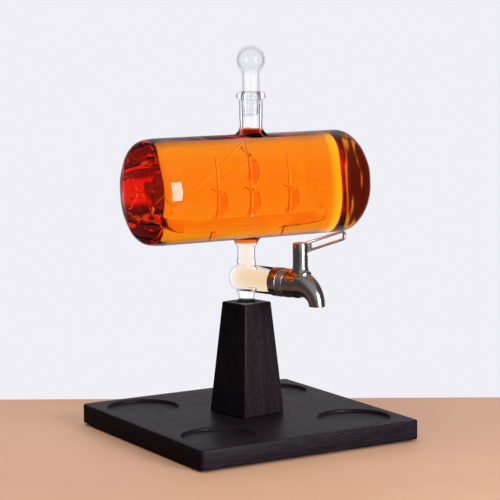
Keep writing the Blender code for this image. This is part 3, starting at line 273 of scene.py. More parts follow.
def streaks(tree, scale, detail=3.0, rough=0.5):
    """Noise in steps a metre, the same each way or given along X, Y and Z."""
    if not isinstance(scale, tuple):
        scale = (scale, scale, scale)
    where = add_node(tree, "ShaderNodeTexCoord").outputs["Object"]
    stretch = add_node(tree, "ShaderNodeMapping", {"Vector": where, "Scale": scale})
    noise_node = add_node(tree, "ShaderNodeTexNoise", {
        "Vector": stretch.outputs["Vector"], "Scale": 1.0, "Detail": detail, "Roughness": rough})
    return noise_node.outputs["Fac"]


def ramp(tree, factor, stops):
    """A colour ramp with (place, colour) stops."""
    node = add_node(tree, "ShaderNodeValToRGB", {"Fac": factor})
    elements = node.color_ramp.elements
    while len(elements) < len(stops):
        elements.new(0.5)
    for element, (place, colour) in zip(elements, stops):
        element.position = place
        element.color = (*colour, 1.0)
    return node.outputs["Color"]


def mixed(tree, factor, first, second, **settings):
    """Two colours mixed. Each is a plain colour or another node's output."""
    node = add_node(tree, "ShaderNodeMix", {"Factor": factor}, data_type="RGBA", **settings)
    for place, colour in ((6, first), (7, second)):
        if isinstance(colour, tuple):
            node.inputs[place].default_value = (*colour, 1.0)
        else:
            tree.links.new(colour, node.inputs[place])
    return node.outputs[2]


def spread(tree, factor, low, high, start=0.35, end=0.65, kind="LINEAR"):
    """A value between a start and an end, brought to a new range."""
    node = add_node(tree, "ShaderNodeMapRange", {
        "Value": factor, "From Min": start, "From Max": end, "To Min": low, "To Max": high},
        interpolation_type=kind)
    return node.outputs["Result"]


def add_bump(tree, shader, height, strength, distance):
    """Raise the surface by a height field."""
    node = add_node(tree, "ShaderNodeBump", {
        "Height": height, "Strength": strength, "Distance": distance})
    tree.links.new(node.outputs["Normal"], shader.inputs["Normal"])

# %% [markdown]
# Clear glass has a refractive index of 1.47 against air. Where spirit touches it, light only
# feels the step from 1.36 to 1.47, so the wet faces get their ratio, 1.08. One shared index
# would be simpler, but the barrel would then look as if it had an air gap behind its wall. The
# thin tubes, the ball and the little ship have a lower index than real glass. The grey tint and
# darker rim of the tubes and the ball, and the warm tint of the ship's hull and sails, are
# painted shade: against a pale wall that keeps their outlines soft and quiet. The root of the
# neck and the boss under the barrel are thick glass painted with the spirit's amber shade, which
# stands in for the light that reaches them through the spirit. Blown glass is never quite even,
# so a slow noise bends every surface by a hair.

# %% Glass finishes
GLASS_INDEX = 1.47
SPIRIT_INDEX = 1.36
SOFT_INDEX = 1.2
BLOWN_WAVE = 0.05
LAMPWORK_WAVE = 0.1


def glass_finish(name, index, tint=(0.985, 0.993, 0.99), clear=(1.0, 1.0, 1.0),
                 wave=BLOWN_WAVE, coat=0.0, rim=1.0):
    """Slightly uneven glass, with painted shade: its tone falls to the rim's share where the
    surface turns away.
    """
    material, tree, shader = new_finish(name, Roughness=0.0, IOR=index, Transmission_Weight=1.0,
                                         Coat_Weight=coat, Coat_Roughness=0.04, Coat_IOR=1.5)
    tone = ramp(tree, streaks(tree, 30.0), [(0.3, tint), (0.7, clear)])
    # Painted rim shade: the tone darkens to the rim's share where the surface turns from the view.
    turning = add_node(tree, "ShaderNodeLayerWeight", {"Blend": 0.5}).outputs["Facing"]
    edge = spread(tree, turning, 1.0, rim, 0.45, 0.95)
    tone_with_painted_rim_shade = add_node(tree, "ShaderNodeVectorMath", {0: tone, 1: edge}, operation="MULTIPLY")
    tree.links.new(tone_with_painted_rim_shade.outputs["Vector"], shader.inputs["Base Color"])
    add_bump(tree, shader, streaks(tree, 45.0, detail=1.0), wave, 0.001)
    return material


CLEAR_GLASS = glass_finish("blown_glass", GLASS_INDEX)
WET_GLASS = glass_finish("blown_glass_wet", GLASS_INDEX / SPIRIT_INDEX)
# The amber of the root and boss glass is painted: it stands in for the spirit's light and shade
# seen through thick clear glass.
ROOT_GLASS_PAINTED_AMBER = glass_finish("blown_glass_root_painted_amber", 1.1, (0.42, 0.11, 0.06), (0.50, 0.15, 0.09))
BOSS_GLASS_PAINTED_AMBER = glass_finish("blown_glass_boss_painted_amber", SOFT_INDEX, (0.72, 0.14, 0.03), (0.80, 0.20, 0.05))
# The grey tints of the tube, level tube and ball glass are painted shade, as is their darker rim.
TUBE_GLASS = glass_finish("drawn_tube_glass", SOFT_INDEX, (0.90, 0.905, 0.91), (0.94, 0.94, 0.945),
                          coat=0.05, rim=0.35)
LEVEL_GLASS = glass_finish("level_tube_glass", 1.08, (0.90, 0.90, 0.90), (0.95, 0.95, 0.95),
                           coat=0.1, rim=0.4)
BALL_GLASS = glass_finish("drawn_ball_glass", SOFT_INDEX, (0.83, 0.835, 0.84), (0.88, 0.88, 0.885),
                          coat=0.15, rim=0.35)
SHIP_GLASS = glass_finish("lampworked_glass", SOFT_INDEX, wave=LAMPWORK_WAVE)
# The warm tints of the sail and hull glass are painted shade that shows them in the spirit.
SAIL_GLASS = glass_finish("lampworked_sheet", 1.02, (0.95, 0.62, 0.45), (1.0, 0.76, 0.60),
                          wave=LAMPWORK_WAVE)
HULL_GLASS = glass_finish("lampworked_hull", SOFT_INDEX, (0.96, 0.62, 0.45), (1.0, 0.74, 0.58),
                          wave=LAMPWORK_WAVE)

# %% [markdown]
# Amber spirit swallows blue light first and then green, so it turns from straw to orange to
# dark red as the light's way through it grows. A volume absorption does just that, where a
# tinted surface would give one flat colour. A narrow tube of it and the root of the neck get
# less and more of it than the barrel, each with its own strength: painted light that keeps the
# tubes pale, and painted shade that makes the neck's root dark red. The surface lets light
# pass straight, because the wet glass round it already bends it.

# %% Spirit finishes
def spirit_finish(name, swallowed=(0.994, 0.768, 0.08), density=70.0):
    """Amber spirit: a surface that bends nothing, and a body that swallows light."""
    material, tree, shader = new_finish(name, Roughness=0.0, IOR=1.0, Transmission_Weight=1.0)
    faint = ramp(tree, streaks(tree, 20.0, detail=1.0),
                 [(0.3, (1.0, 0.99, 0.97)), (0.7, (1.0, 1.0, 1.0))])
    tree.links.new(faint, shader.inputs["Base Color"])
    body = add_node(tree, "ShaderNodeVolumeAbsorption", {
        "Color": (*swallowed, 1.0), "Density": density})
    tree.links.new(body.outputs["Volume"], tree.nodes["Material Output"].inputs["Volume"])
    return material


BARREL_SPIRIT = spirit_finish("amber_spirit_at_glass")
# The tubes' weaker absorption is painted light, and the neck's stronger one is painted shade.
TUBE_SPIRIT_PAINTED_LIGHT = spirit_finish("amber_spirit_in_tubes", (0.95, 0.81, 0.58))
NECK_SPIRIT_PAINTED_SHADE = spirit_finish("amber_spirit_in_neck", (0.8, 0.3, 0.0), 330.0)

# %% [markdown]
# The tap is stainless steel, polished but not a mirror: fine lines from the buffing wheel blur
# what it reflects. The noise goes into roughness and a faint bump, which is how such lines work
# on real steel, where the colour hardly changes at all. The lever is tumbled and not buffed, so
# it is rougher and looks paler. Silicone and rubber are matt, with a fine grain from their
# mould.

# %% Steel, silicone and rubber finishes
def steel_finish(name, tone, low, high):
    """Polished steel with buffing lines, between two values of roughness."""
    material, tree, shader = new_finish(name, Metallic=1.0)
    lines = streaks(tree, (2500.0, 2500.0, 500.0), detail=4.0)
    dark = tuple(value * 0.9 for value in tone)
    tree.links.new(ramp(tree, lines, [(0.3, dark), (0.7, tone)]), shader.inputs["Base Color"])
    tree.links.new(spread(tree, lines, low, high), shader.inputs["Roughness"])
    add_bump(tree, shader, lines, 0.02, 0.0001)
    return material


def matt_finish(name, tone, rough, grain, **settings):
    """A soft, matt, moulded finish with a fine grain."""
    material, tree, shader = new_finish(name, **settings)
    cloud = streaks(tree, grain, detail=4.0)
    dark = tuple(value * 0.82 for value in tone)
    tree.links.new(ramp(tree, cloud, [(0.3, dark), (0.7, tone)]), shader.inputs["Base Color"])
    tree.links.new(spread(tree, cloud, rough - 0.08, rough + 0.08), shader.inputs["Roughness"])
    add_bump(tree, shader, cloud, 0.2, 0.0001)
    return material


STEEL = steel_finish("polished_steel", (0.78, 0.765, 0.75), 0.12, 0.20)
LEVER_STEEL = steel_finish("lever_steel", (0.86, 0.85, 0.87), 0.24, 0.34)
SCREW_STEEL = steel_finish("screw_steel", (0.58, 0.58, 0.57), 0.2, 0.35)
SILICONE = matt_finish("pale_silicone", (0.80, 0.72, 0.60), 0.45, 900.0,
                       Subsurface_Weight=0.4, Subsurface_Scale=0.004)
GASKET_SILICONE = matt_finish("grey_silicone", (0.42, 0.40, 0.39), 0.45, 900.0)
BLACK_RUBBER = matt_finish("black_rubber", (0.025, 0.025, 0.026), 0.75, 1500.0)

# %% [markdown]
# The stand is hardwood, stained nearly black under a satin lacquer. Its open grain shows only
# as fine streaks where light grazes it. The lacquer is the shader's coat, and the streaks go
# along the board and up the pillar, as its fibres do. The black is the stain's own, but its
# purple is a painted reflection of the bluish wall. The pillar has more lacquer than the board,
# and its lighter tones are a painted sheen, so each has its own tones.

# %% Wood finish
def wood_finish(name, scale, lacquer, dark, middle, light):
    """Black-stained wood with open grain under satin lacquer."""
    material, tree, shader = new_finish(name, Coat_Weight=lacquer, Coat_Roughness=0.25,
                                         Coat_IOR=1.5, Specular_IOR_Level=0.12)
    fibre = streaks(tree, scale, detail=8.0, rough=0.65)
    band = streaks(tree, tuple(value / 9.0 for value in scale), detail=2.0)
    tone = ramp(tree, fibre, [(0.36, dark), (0.52, middle), (0.68, light)])
    shade = ramp(tree, band, [(0.3, (0.7, 0.7, 0.7)), (0.7, (1.2, 1.15, 1.15))])
    both = mixed(tree, 1.0, tone, shade, blend_type="MULTIPLY")
    tree.links.new(both, shader.inputs["Base Color"])
    tree.links.new(spread(tree, fibre, 0.50, 0.34), shader.inputs["Roughness"])
    add_bump(tree, shader, fibre, 0.35, 0.0002)
    return material


# Both stains carry a painted purple reflection of the bluish wall.
BOARD_WOOD = wood_finish("black_wood_board", (90.0, 1400.0, 1400.0), 0.04,
                         (0.0065, 0.0043, 0.0068), (0.018, 0.0124, 0.0195), (0.040, 0.029, 0.046))
# The pillar's lighter tones are a painted sheen.
PILLAR_WOOD_PAINTED_SHEEN = wood_finish("black_wood_pillar_painted_sheen", (1400.0, 1400.0, 90.0), 0.12,
                          (0.010, 0.0068, 0.0094), (0.024, 0.016, 0.023), (0.046, 0.031, 0.044))

# %% [markdown]
# Sizes that the solids already have are read from their boxes where a box can tell them. The
# rest are the maker's own: wall thicknesses, flares and bends. Loose pieces keep a gap of 0.3
# mm, and a cutting tool stands 2 mm proud of the face that it goes into.

# %% Measures
GAP = 0.0003
PROUD = 0.002
BOARD_LOW, BOARD_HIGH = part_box("board")
BOARD_TOP = BOARD_HIGH[2]
PILLAR_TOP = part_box("pillar")[1][2]
BARREL_RADIUS = 0.0495
BARREL_HALF = 0.117
BARREL_CORNER = 0.007
BARREL_DOME = 0.0052
BARREL_WALL = 0.003
CROSS_RADIUS = 0.0129
CROSS_HEIGHT = PILLAR_TOP + 0.0098 + CROSS_RADIUS
BARREL_BOTTOM = CROSS_HEIGHT + CROSS_RADIUS + 0.0246
BARREL_HEIGHT = BARREL_BOTTOM + BARREL_RADIUS
BARREL_TOP = BARREL_HEIGHT + BARREL_RADIUS
NECK_HEIGHT = 0.0395
NECK_PLACE = 0.0058
LIP_TOP = BARREL_TOP + NECK_HEIGHT
print("barrel axis at", round(BARREL_HEIGHT, 4), "level tube at", round(CROSS_HEIGHT, 4),
      "lip at", round(LIP_TOP, 4))

# %% [markdown]
# The board is sawn square, its corners rounded and its edges eased, and four shallow recesses
# are routed into its top. A bevel modifier on a box would do for the edges; here one rounded
# outline is lofted through a profile, so the corners stay truly round. Below, it has four
# pockets for its pads and a stepped hole for the screw that holds the pillar.

# %% Board
BOARD_SIDE = BOARD_HIGH[0] - BOARD_LOW[0]
BOARD_CORNER = 0.004
BOARD_EASE = 0.0014
RECESS_RADIUS = 0.0345
RECESS_EASE = 0.0009
RECESS_DEPTH = 0.003
RECESS_PLACE = 0.0735
PAD_RADIUS = 0.0083
PAD_PLACE = 0.0975
SCREW_HOLE = 0.0033
SCREW_HEAD_HOLE = 0.0093


def rounded_square(half, corner, height, steps=8):
    """A square outline with round corners, at a height."""
    ring = []
    for quarter in range(4):
        centre = Vector((half - corner, half - corner)).to_3d()
        for step in range(steps + 1):
            angle = math.pi / 2 * step / steps
            point = centre + Vector((math.cos(angle), math.sin(angle), 0.0)) * corner
            point = Matrix.Rotation(quarter * math.pi / 2, 3, "Z") @ point
            ring.append((point.x, point.y, height))
    return ring


def lofted(rings):
    """A closed shape through rings with equal counts, each end filled."""
    count = len(rings[0])
    points = [point for ring in rings for point in ring]
    faces = [list(range(count))[::-1], [len(points) - count + index for index in range(count)]]
    for row in range(len(rings) - 1):
        for index in range(count):
            after = (index + 1) % count
            faces.append([row * count + index, row * count + after,
                          (row + 1) * count + after, (row + 1) * count + index])
    return mesh_of(points, faces)


def eased_block(side_low, side_high, bottom, top, corner, ease, steps=4):
    """A square block, perhaps tapered, with eased edges all round."""
    rings = []
    for low_end in (True, False):
        for step in range(steps + 1):
            angle = math.pi / 2 * step / steps
            inset = ease * (1 - math.sin(angle)) if low_end else ease * (1 - math.cos(angle))
            lift = ease * (1 - math.cos(angle)) if low_end else -ease * (1 - math.sin(angle))
            half = (side_low if low_end else side_high) / 2
            height = (bottom if low_end else top) + lift
            rings.append(rounded_square(half - inset, max(corner - inset, 0.0002), height))
    return lofted(rings)


board = eased_block(BOARD_SIDE, BOARD_SIDE, BOARD_LOW[2], BOARD_TOP, BOARD_CORNER, BOARD_EASE)
recess = [
    (0.0, PROUD), (RECESS_RADIUS + RECESS_EASE, PROUD), (RECESS_RADIUS + RECESS_EASE, 0.0),
    (RECESS_RADIUS, -RECESS_EASE), (RECESS_RADIUS - 0.0006, -RECESS_DEPTH), (0.0, -RECESS_DEPTH),
]
pad_pocket = [(0.0, 0.001), (PAD_RADIUS, 0.001), (PAD_RADIUS, -PROUD), (0.0, -PROUD)]
board_cuts = []
for side_x in (-1, 1):
    for side_y in (-1, 1):
        board_cuts.append(turned(softened(recess, 0.0008, 4), 96,
                                 moved(side_x * RECESS_PLACE, side_y * RECESS_PLACE, BOARD_TOP)))
        board_cuts.append(turned(pad_pocket, 48,
                                 moved(side_x * PAD_PLACE, side_y * PAD_PLACE, BOARD_LOW[2])))
screw_hole = [(0.0, 0.03), (SCREW_HOLE, 0.03), (SCREW_HOLE, 0.006), (SCREW_HEAD_HOLE, 0.006),
              (SCREW_HEAD_HOLE, -PROUD), (0.0, -PROUD)]
board_cuts.append(turned(screw_hole, 48, moved(z=BOARD_LOW[2])))
board = combined(board, board_cuts, "DIFFERENCE")
set_piece("wooden_board", board, [BOARD_WOOD], "stand", ["board"])

# %% [markdown]
# The pillar is a tapered square post, turned a few degrees on the board. Its arrises are eased
# by hand, and a socket is bored in its top for the glass peg. It is the board's eased block
# again with a smaller top. A scaled box would taper too, but its rounded edges would then grow
# thinner towards the top, and sanded ones don't.

# %% Pillar
PILLAR_LOW_SIDE = 0.0505
PILLAR_TOP_SIDE = 0.0335
SOCKET_RADIUS = 0.0092
SOCKET_DEPTH = 0.0361
PILOT_DEPTH = 0.0393
pillar_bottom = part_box("pillar")[0][2]
pillar = eased_block(PILLAR_LOW_SIDE, PILLAR_TOP_SIDE, pillar_bottom, PILLAR_TOP, 0.0016, 0.0013)
socket = [(0.0, PROUD), (SOCKET_RADIUS + 0.0009, PROUD), (SOCKET_RADIUS + 0.0009, 0.0),
          (SOCKET_RADIUS + 0.0003, -0.0007), (SOCKET_RADIUS, -0.0013),
          (SOCKET_RADIUS, -SOCKET_DEPTH), (0.0, -SOCKET_DEPTH)]
pilot = [(0.0, PILOT_DEPTH), (SCREW_HOLE, PILOT_DEPTH), (SCREW_HOLE, -0.004), (0.0, -0.004)]
pillar = combined(pillar, [turned(socket, 96, moved(z=PILLAR_TOP)),
                           turned(pilot, 48, moved(z=pillar_bottom))], "DIFFERENCE")
set_piece("wooden_pillar", pillar, [PILLAR_WOOD_PAINTED_SHEEN], "stand", ["pillar"],
          turn=PILLAR_TURN)

# %% [markdown]
# The vessel is blown and then flameworked: a barrel, a neck, a short tube down from its floor,
# a level tube for the tap and a solid peg, all melted into one. The barrel comes first, because
# everything else is melted to it. Its left end is slightly domed, with a long gentle sweep into
# a tight corner. Its right end is flat, with a wide round corner, and that corner is what
# throws the bright yellow band inside it. Both ends keep soft waves from the mould and the
# paddle. They are hardly seen from outside, but the spirit magnifies them into swirls.

# %% Barrel
SHOULDER_SWEEP = 0.075
LEFT_EASE = 10
RIGHT_CORNER = 0.0165
RIGHT_DOME = 0.0002
RIGHT_EASE = 2
WAVE_REACH = 0.016
WAVE_LENGTH = 0.014
WAVE_DEPTH = {1: 0.0012, -1: 0.0009}


def barrel_end(radius, half, corner, dome, ease_angle):
    """One end of the profile: a dome, a round corner, and a sweep of some degrees to the side."""
    tilt = math.atan(2 * dome / radius)
    ease = math.radians(ease_angle)
    centre = radius - SHOULDER_SWEEP * (1 - math.cos(ease)) - corner * math.cos(ease)
    edge = centre + corner * math.sin(tilt)
    end = [(edge * step / 16, half - dome * (step / 16) ** 2) for step in range(15)]
    shoulder = half - dome - corner * math.cos(tilt)
    end += arc(centre, shoulder, corner, 90 - math.degrees(tilt), ease_angle, 16)
    back = shoulder + corner * math.sin(ease) - SHOULDER_SWEEP * math.sin(ease)
    return end + arc(radius - SHOULDER_SWEEP, back, SHOULDER_SWEEP, ease_angle, 0, 8)[1:]


def barrel_outline(radius, half, inset=0.0):
    """The whole profile, from the middle of the right end to that of the left one."""
    right = barrel_end(radius, half, RIGHT_CORNER - inset, RIGHT_DOME, RIGHT_EASE)
    left = barrel_end(radius, half, BARREL_CORNER - inset, BARREL_DOME, LEFT_EASE)
    return right + [(across, -along) for across, along in reversed(left)]


def wavy(mesh):
    """Sink soft waves into both ends of the barrel. They fade out along its side."""
    for vertex in mesh.vertices:
        along = abs(vertex.co.x) - (BARREL_HALF - WAVE_REACH)
        share = min(along / WAVE_REACH * 1.6, 1.0)
        if share > 0.0:
            side = math.copysign(1.0, vertex.co.x)
            spot = Vector((0.0, vertex.co.y, vertex.co.z - BARREL_HEIGHT)) * (1.0 / WAVE_LENGTH)
            spot.x = side * 3.3
            sink = WAVE_DEPTH[int(side)] * (0.5 + 0.5 * noise.noise(spot)) * share
            vertex.co.x -= side * sink
    return mesh


barrel = wavy(turned(barrel_outline(BARREL_RADIUS, BARREL_HALF), 256,
                     moved(z=BARREL_HEIGHT, turn=ALONG_BARREL)))
barrel.materials.append(CLEAR_GLASS)
print("barrel:", len(barrel.polygons), "faces, length",
      round(max(v.co.x for v in barrel.vertices) - min(v.co.x for v in barrel.vertices), 4))

# %% [markdown]
# The neck and the tube below are melted on, and each join is drawn out into a flare that lies
# on the barrel. So a flare is turned flat first, and then bent to the barrel's round side
# before the Boolean joins it. The level tube and the peg are plain turned shapes that run into
# the foot of the down tube.

# %% Neck, tubes and peg
def eased(share):
    """A share kept between 0 and 1, with a soft start and a soft end."""
    share = min(max(share, 0.0), 1.0)
    return share * share * (3 - 2 * share)


def draped(mesh, root, reach, side):
    """Bend the end of a flare to the barrel's round side. Side is 1 on top and -1 below."""
    for vertex in mesh.vertices:
        share = eased(1 - (vertex.co.z - root) * side / reach)
        across = min(abs(vertex.co.y), BARREL_RADIUS * 0.8)
        drop = BARREL_RADIUS - math.sqrt(BARREL_RADIUS ** 2 - across ** 2)
        vertex.co.z -= side * drop * share
    return mesh


NECK_RADIUS = 0.0109
LIP_RADIUS = 0.014
LIP_BEAD = 0.0036
neck_profile = [
    (0.0, NECK_HEIGHT),
    *arc(LIP_RADIUS - LIP_BEAD, NECK_HEIGHT - LIP_BEAD, LIP_BEAD, 90, -62, 14),
    (NECK_RADIUS, NECK_HEIGHT - 0.0074),
    (NECK_RADIUS, 0.0142),
    (NECK_RADIUS - 0.0004, 0.0105),
    (NECK_RADIUS - 0.0005, 0.0078),
    (NECK_RADIUS + 0.0004, 0.0048),
    (NECK_RADIUS + 0.0019, 0.0022),
    (NECK_RADIUS + 0.0042, 0.0004),
    (NECK_RADIUS + 0.0062, -0.0006),
    (NECK_RADIUS + 0.0062, -0.008),
    (0.0, -0.008),
]
neck = draped(turned(softened(neck_profile, 0.002), 128, moved(NECK_PLACE, 0.0, BARREL_TOP)),
              BARREL_TOP, 0.012, 1)

DOWN_RADIUS = 0.0083
BOSS_RADIUS = 0.0103
tube_join = CROSS_HEIGHT + CROSS_RADIUS - BARREL_BOTTOM
down_profile = [
    (0.0, 0.007),
    (BOSS_RADIUS + 0.0056, 0.007),
    (BOSS_RADIUS + 0.0056, 0.0008),
    (BOSS_RADIUS + 0.0032, -0.0004),
    (BOSS_RADIUS + 0.0014, -0.0018),
    (BOSS_RADIUS + 0.0004, -0.0038),
    (BOSS_RADIUS - 0.0003, -0.0056),
    (DOWN_RADIUS + 0.0002, -0.0072),
    (DOWN_RADIUS, -0.0095),
    (DOWN_RADIUS, tube_join + 0.0052),
    (DOWN_RADIUS + 0.0009, tube_join + 0.0034),
    (DOWN_RADIUS + 0.0002, tube_join + 0.0016),
    (DOWN_RADIUS + 0.0010, tube_join - 0.0006),
    (DOWN_RADIUS + 0.0022, tube_join - 0.0034),
    (DOWN_RADIUS, tube_join - 0.0065),
    (0.0, tube_join - 0.0065),
]
down_tube = draped(turned(softened(down_profile, 0.0012), 128, moved(z=BARREL_BOTTOM)),
                   BARREL_BOTTOM, 0.006, -1)

AT_TAP = moved(z=CROSS_HEIGHT, turn=ALONG_TAP)
CROSS_FRONT = 0.0438
CROSS_BACK = 0.0157
CROSS_END_ROUND = 0.0095
cross_profile = [
    (0.0, CROSS_FRONT), (CROSS_RADIUS - 0.0006, CROSS_FRONT), (CROSS_RADIUS, CROSS_FRONT - 0.0006),
    *arc(CROSS_RADIUS - CROSS_END_ROUND, CROSS_END_ROUND - CROSS_BACK, CROSS_END_ROUND, 0, -90, 16),
    (0.0, -CROSS_BACK),
]
cross_tube = turned(cross_profile, 128, TAP_TURN @ AT_TAP)

PEG_RADIUS = 0.0074
PEG_BOTTOM = PILLAR_TOP - 0.034
peg_top = CROSS_HEIGHT - CROSS_RADIUS + 0.0014
peg_profile = [
    (0.0, peg_top), (PEG_RADIUS + 0.002, peg_top), (PEG_RADIUS + 0.0016, peg_top - 0.0016),
    (PEG_RADIUS + 0.0002, peg_top - 0.0036), (PEG_RADIUS, peg_top - 0.006),
    (PEG_RADIUS, PEG_BOTTOM + 0.001), (PEG_RADIUS - 0.001, PEG_BOTTOM), (0.0, PEG_BOTTOM),
]
peg = turned(softened(peg_profile, 0.0008), 96)

for shape in (neck, down_tube, peg):
    shape.materials.append(TUBE_GLASS)
cross_tube.materials.append(LEVEL_GLASS)
outside = combined(barrel, [neck, down_tube, cross_tube, peg])
print("glass outside:", len(outside.polygons), "faces, open edges", open_edges(outside))

# %% [markdown]
# Glass is hollow, and its wall shows wherever light goes in or out, so the inside is a real
# surface. One function makes it for the glass, and again a hair smaller for the spirit, so that
# the two never share a face. The spirit fills the barrel, the root of the neck and both tubes
# as far as the tap's bung. The level tube is drawn, so its wall is thinner than the blown
# barrel's.

# %% The hollow inside the glass
NECK_BORE = 0.0077
NECK_MOUTH = 0.0088
DOWN_BORE = 0.0059
CROSS_BORE = 0.0117
CROSS_WALL = 0.0012
SPIRIT_LEVEL = 0.0036
MENISCUS = 0.0013
PLUG_DEPTH = 0.0235
BUNG_BACK = 0.0343


def hollow(shrink, filled):
    """The inside of the vessel: all of it, or only what the spirit fills."""
    inner_radius = BARREL_RADIUS - BARREL_WALL - shrink
    inner_half = BARREL_HALF - BARREL_WALL - shrink
    inside = wavy(turned(barrel_outline(inner_radius, inner_half, BARREL_WALL), 256,
                         moved(z=BARREL_HEIGHT, turn=ALONG_BARREL)))
    bore = NECK_BORE - shrink
    if filled:
        top = [(bore * across, SPIRIT_LEVEL + MENISCUS * rise)
               for across, rise in ((0.0, 0.0), (0.5, 0.06), (0.8, 0.3), (0.95, 0.72), (1.0, 1.0))]
    else:
        top = [(0.0, NECK_HEIGHT + 0.004), (NECK_MOUTH + 0.0006, NECK_HEIGHT + 0.004),
               (NECK_MOUTH + 0.0006, NECK_HEIGHT), (NECK_MOUTH, NECK_HEIGHT - 0.0008),
               (bore, NECK_HEIGHT - PLUG_DEPTH), (bore, SPIRIT_LEVEL + MENISCUS)]
    root = [(bore + 0.0002, 0.0034), (bore + 0.0012, 0.0004), (bore + 0.0034, -0.0022),
            (bore + 0.0052, -0.0034), (bore + 0.0052, -0.009), (0.0, -0.009)]
    neck_hollow = draped(turned(top + root, 128, moved(NECK_PLACE, 0.0, BARREL_TOP)),
                         BARREL_TOP, 0.004, 1)
    bore = DOWN_BORE - shrink
    down = [
        (0.0, 0.008), (bore + 0.0062, 0.008), (bore + 0.0062, 0.0034), (bore + 0.0036, 0.0018),
        (bore + 0.0022, -0.0004), (bore + 0.0016, -0.0034), (bore + 0.0004, -0.0062),
        (bore, -0.0085), (bore, CROSS_HEIGHT - BARREL_BOTTOM), (0.0, CROSS_HEIGHT - BARREL_BOTTOM),
    ]
    down_hollow = draped(turned(softened(down, 0.0012), 128, moved(z=BARREL_BOTTOM)),
                         BARREL_BOTTOM + BARREL_WALL, 0.006, -1)
    bore = CROSS_BORE - shrink
    back = CROSS_BACK - CROSS_WALL - shrink
    rounding = CROSS_END_ROUND - CROSS_WALL
    front = BUNG_BACK - GAP if filled else CROSS_FRONT + 0.004
    level = [(0.0, front), (bore, front), *([] if filled else [(bore, BUNG_BACK - GAP)]),
             *arc(bore - rounding, rounding - back, rounding, 0, -90, 16), (0.0, -back)]
    level_hollow = turned(level, 128, TAP_TURN @ AT_TAP)
    finish = BARREL_SPIRIT if filled else WET_GLASS
    for shape in (inside, neck_hollow, down_hollow, level_hollow):
        shape.materials.append(finish)
    return combined(inside, [neck_hollow, down_hollow, level_hollow])


vessel = combined(outside, [hollow(0.0, False)], "DIFFERENCE")
print("glass with its hollow:", len(vessel.polygons), "faces, open edges", open_edges(vessel))

# %% [markdown]
# The Boolean gave every inner face the wet finish. Above the spirit, and past the bung, no
# spirit touches the glass, so those faces go back to the dry one. The root of the neck and the
# boss below then get their glass with painted amber shade. Going by each face's place is simple,
# and it stays right when a measure changes.

# %% Wet, dry and painted-amber faces
BOSS_LOW = BARREL_BOTTOM - 0.004
ROOT_HIGH = BARREL_TOP + 0.0042
HAIR = 0.0001
tap_way = TAP_TURN @ Vector((0.0, -1.0, 0.0))
for finish in (ROOT_GLASS_PAINTED_AMBER, BOSS_GLASS_PAINTED_AMBER):
    vessel.materials.append(finish)
slots = {finish.name: index for index, finish in enumerate(vessel.materials)}
wet_slot, dry_slot = slots[WET_GLASS.name], slots[TUBE_GLASS.name]
dried = painted_amber_faces = 0
for face in vessel.polygons:
    high = face.center.z > BARREL_TOP + SPIRIT_LEVEL + MENISCUS - HAIR
    beyond_bung = (face.center.dot(tap_way) > BUNG_BACK - GAP - HAIR
                   and face.center.z < BARREL_BOTTOM)
    if face.material_index == wet_slot and (high or beyond_bung):
        face.material_index = dry_slot
        dried += 1
    if face.material_index == dry_slot and BOSS_LOW < face.center.z < ROOT_HIGH:
        upper = face.center.z > BARREL_HEIGHT
        face.material_index = slots[(ROOT_GLASS_PAINTED_AMBER if upper else BOSS_GLASS_PAINTED_AMBER).name]
        painted_amber_faces += 1
print("inner faces that stay dry:", dried, "and faces of the root and the boss:", painted_amber_faces)
set_piece("blown_vessel", vessel, [], "vessel", ["decanter_glass"], sharp=50)

# %% [markdown]
# The spirit is a filling inside the glass. It is cut in three by gaps too thin to see, because
# one strength of colour doesn't suit it all: in a narrow tube a weaker one is painted light that
# keeps it pale, and in the root of the neck, where the light has gone through the whole barrel, a
# stronger one is painted shade that makes it dark red.

# %% Spirit
SLIT = 0.00003
TUBE_CUT = BARREL_BOTTOM - 0.0022
NECK_CUT = BARREL_TOP - 0.001
spirit = hollow(SLIT, True)
lower = eased_block(0.2, 0.2, 0.1, TUBE_CUT, 0.01, 0.001)
tube_spirit = combined(spirit.copy(), [lower.copy()], "INTERSECT")
lower.transform(moved(z=SLIT))
upper = eased_block(0.2, 0.2, NECK_CUT, BARREL_TOP + 0.03, 0.01, 0.001)
neck_spirit = combined(spirit.copy(), [upper.copy()], "INTERSECT")
upper.transform(moved(z=-SLIT))
spirit = combined(spirit, [lower, upper], "DIFFERENCE")
for name, mesh, finish in (("amber_spirit_in_neck", neck_spirit, NECK_SPIRIT_PAINTED_SHADE),
                           ("amber_spirit", spirit, BARREL_SPIRIT),
                           ("amber_spirit_in_tubes", tube_spirit, TUBE_SPIRIT_PAINTED_LIGHT)):
    set_piece(name, mesh, [finish], "vessel", [], sharp=50)

# %% [markdown]
# The stopper is a drawn ball on a ground plug. The ball is blown, so it has a hollow that runs
# down into its stem: a second, smaller surface, cut out of the first. The ball's glass has a
# little more painted grey shade than the stem's, so that its thin wall still shows against a
# pale one.

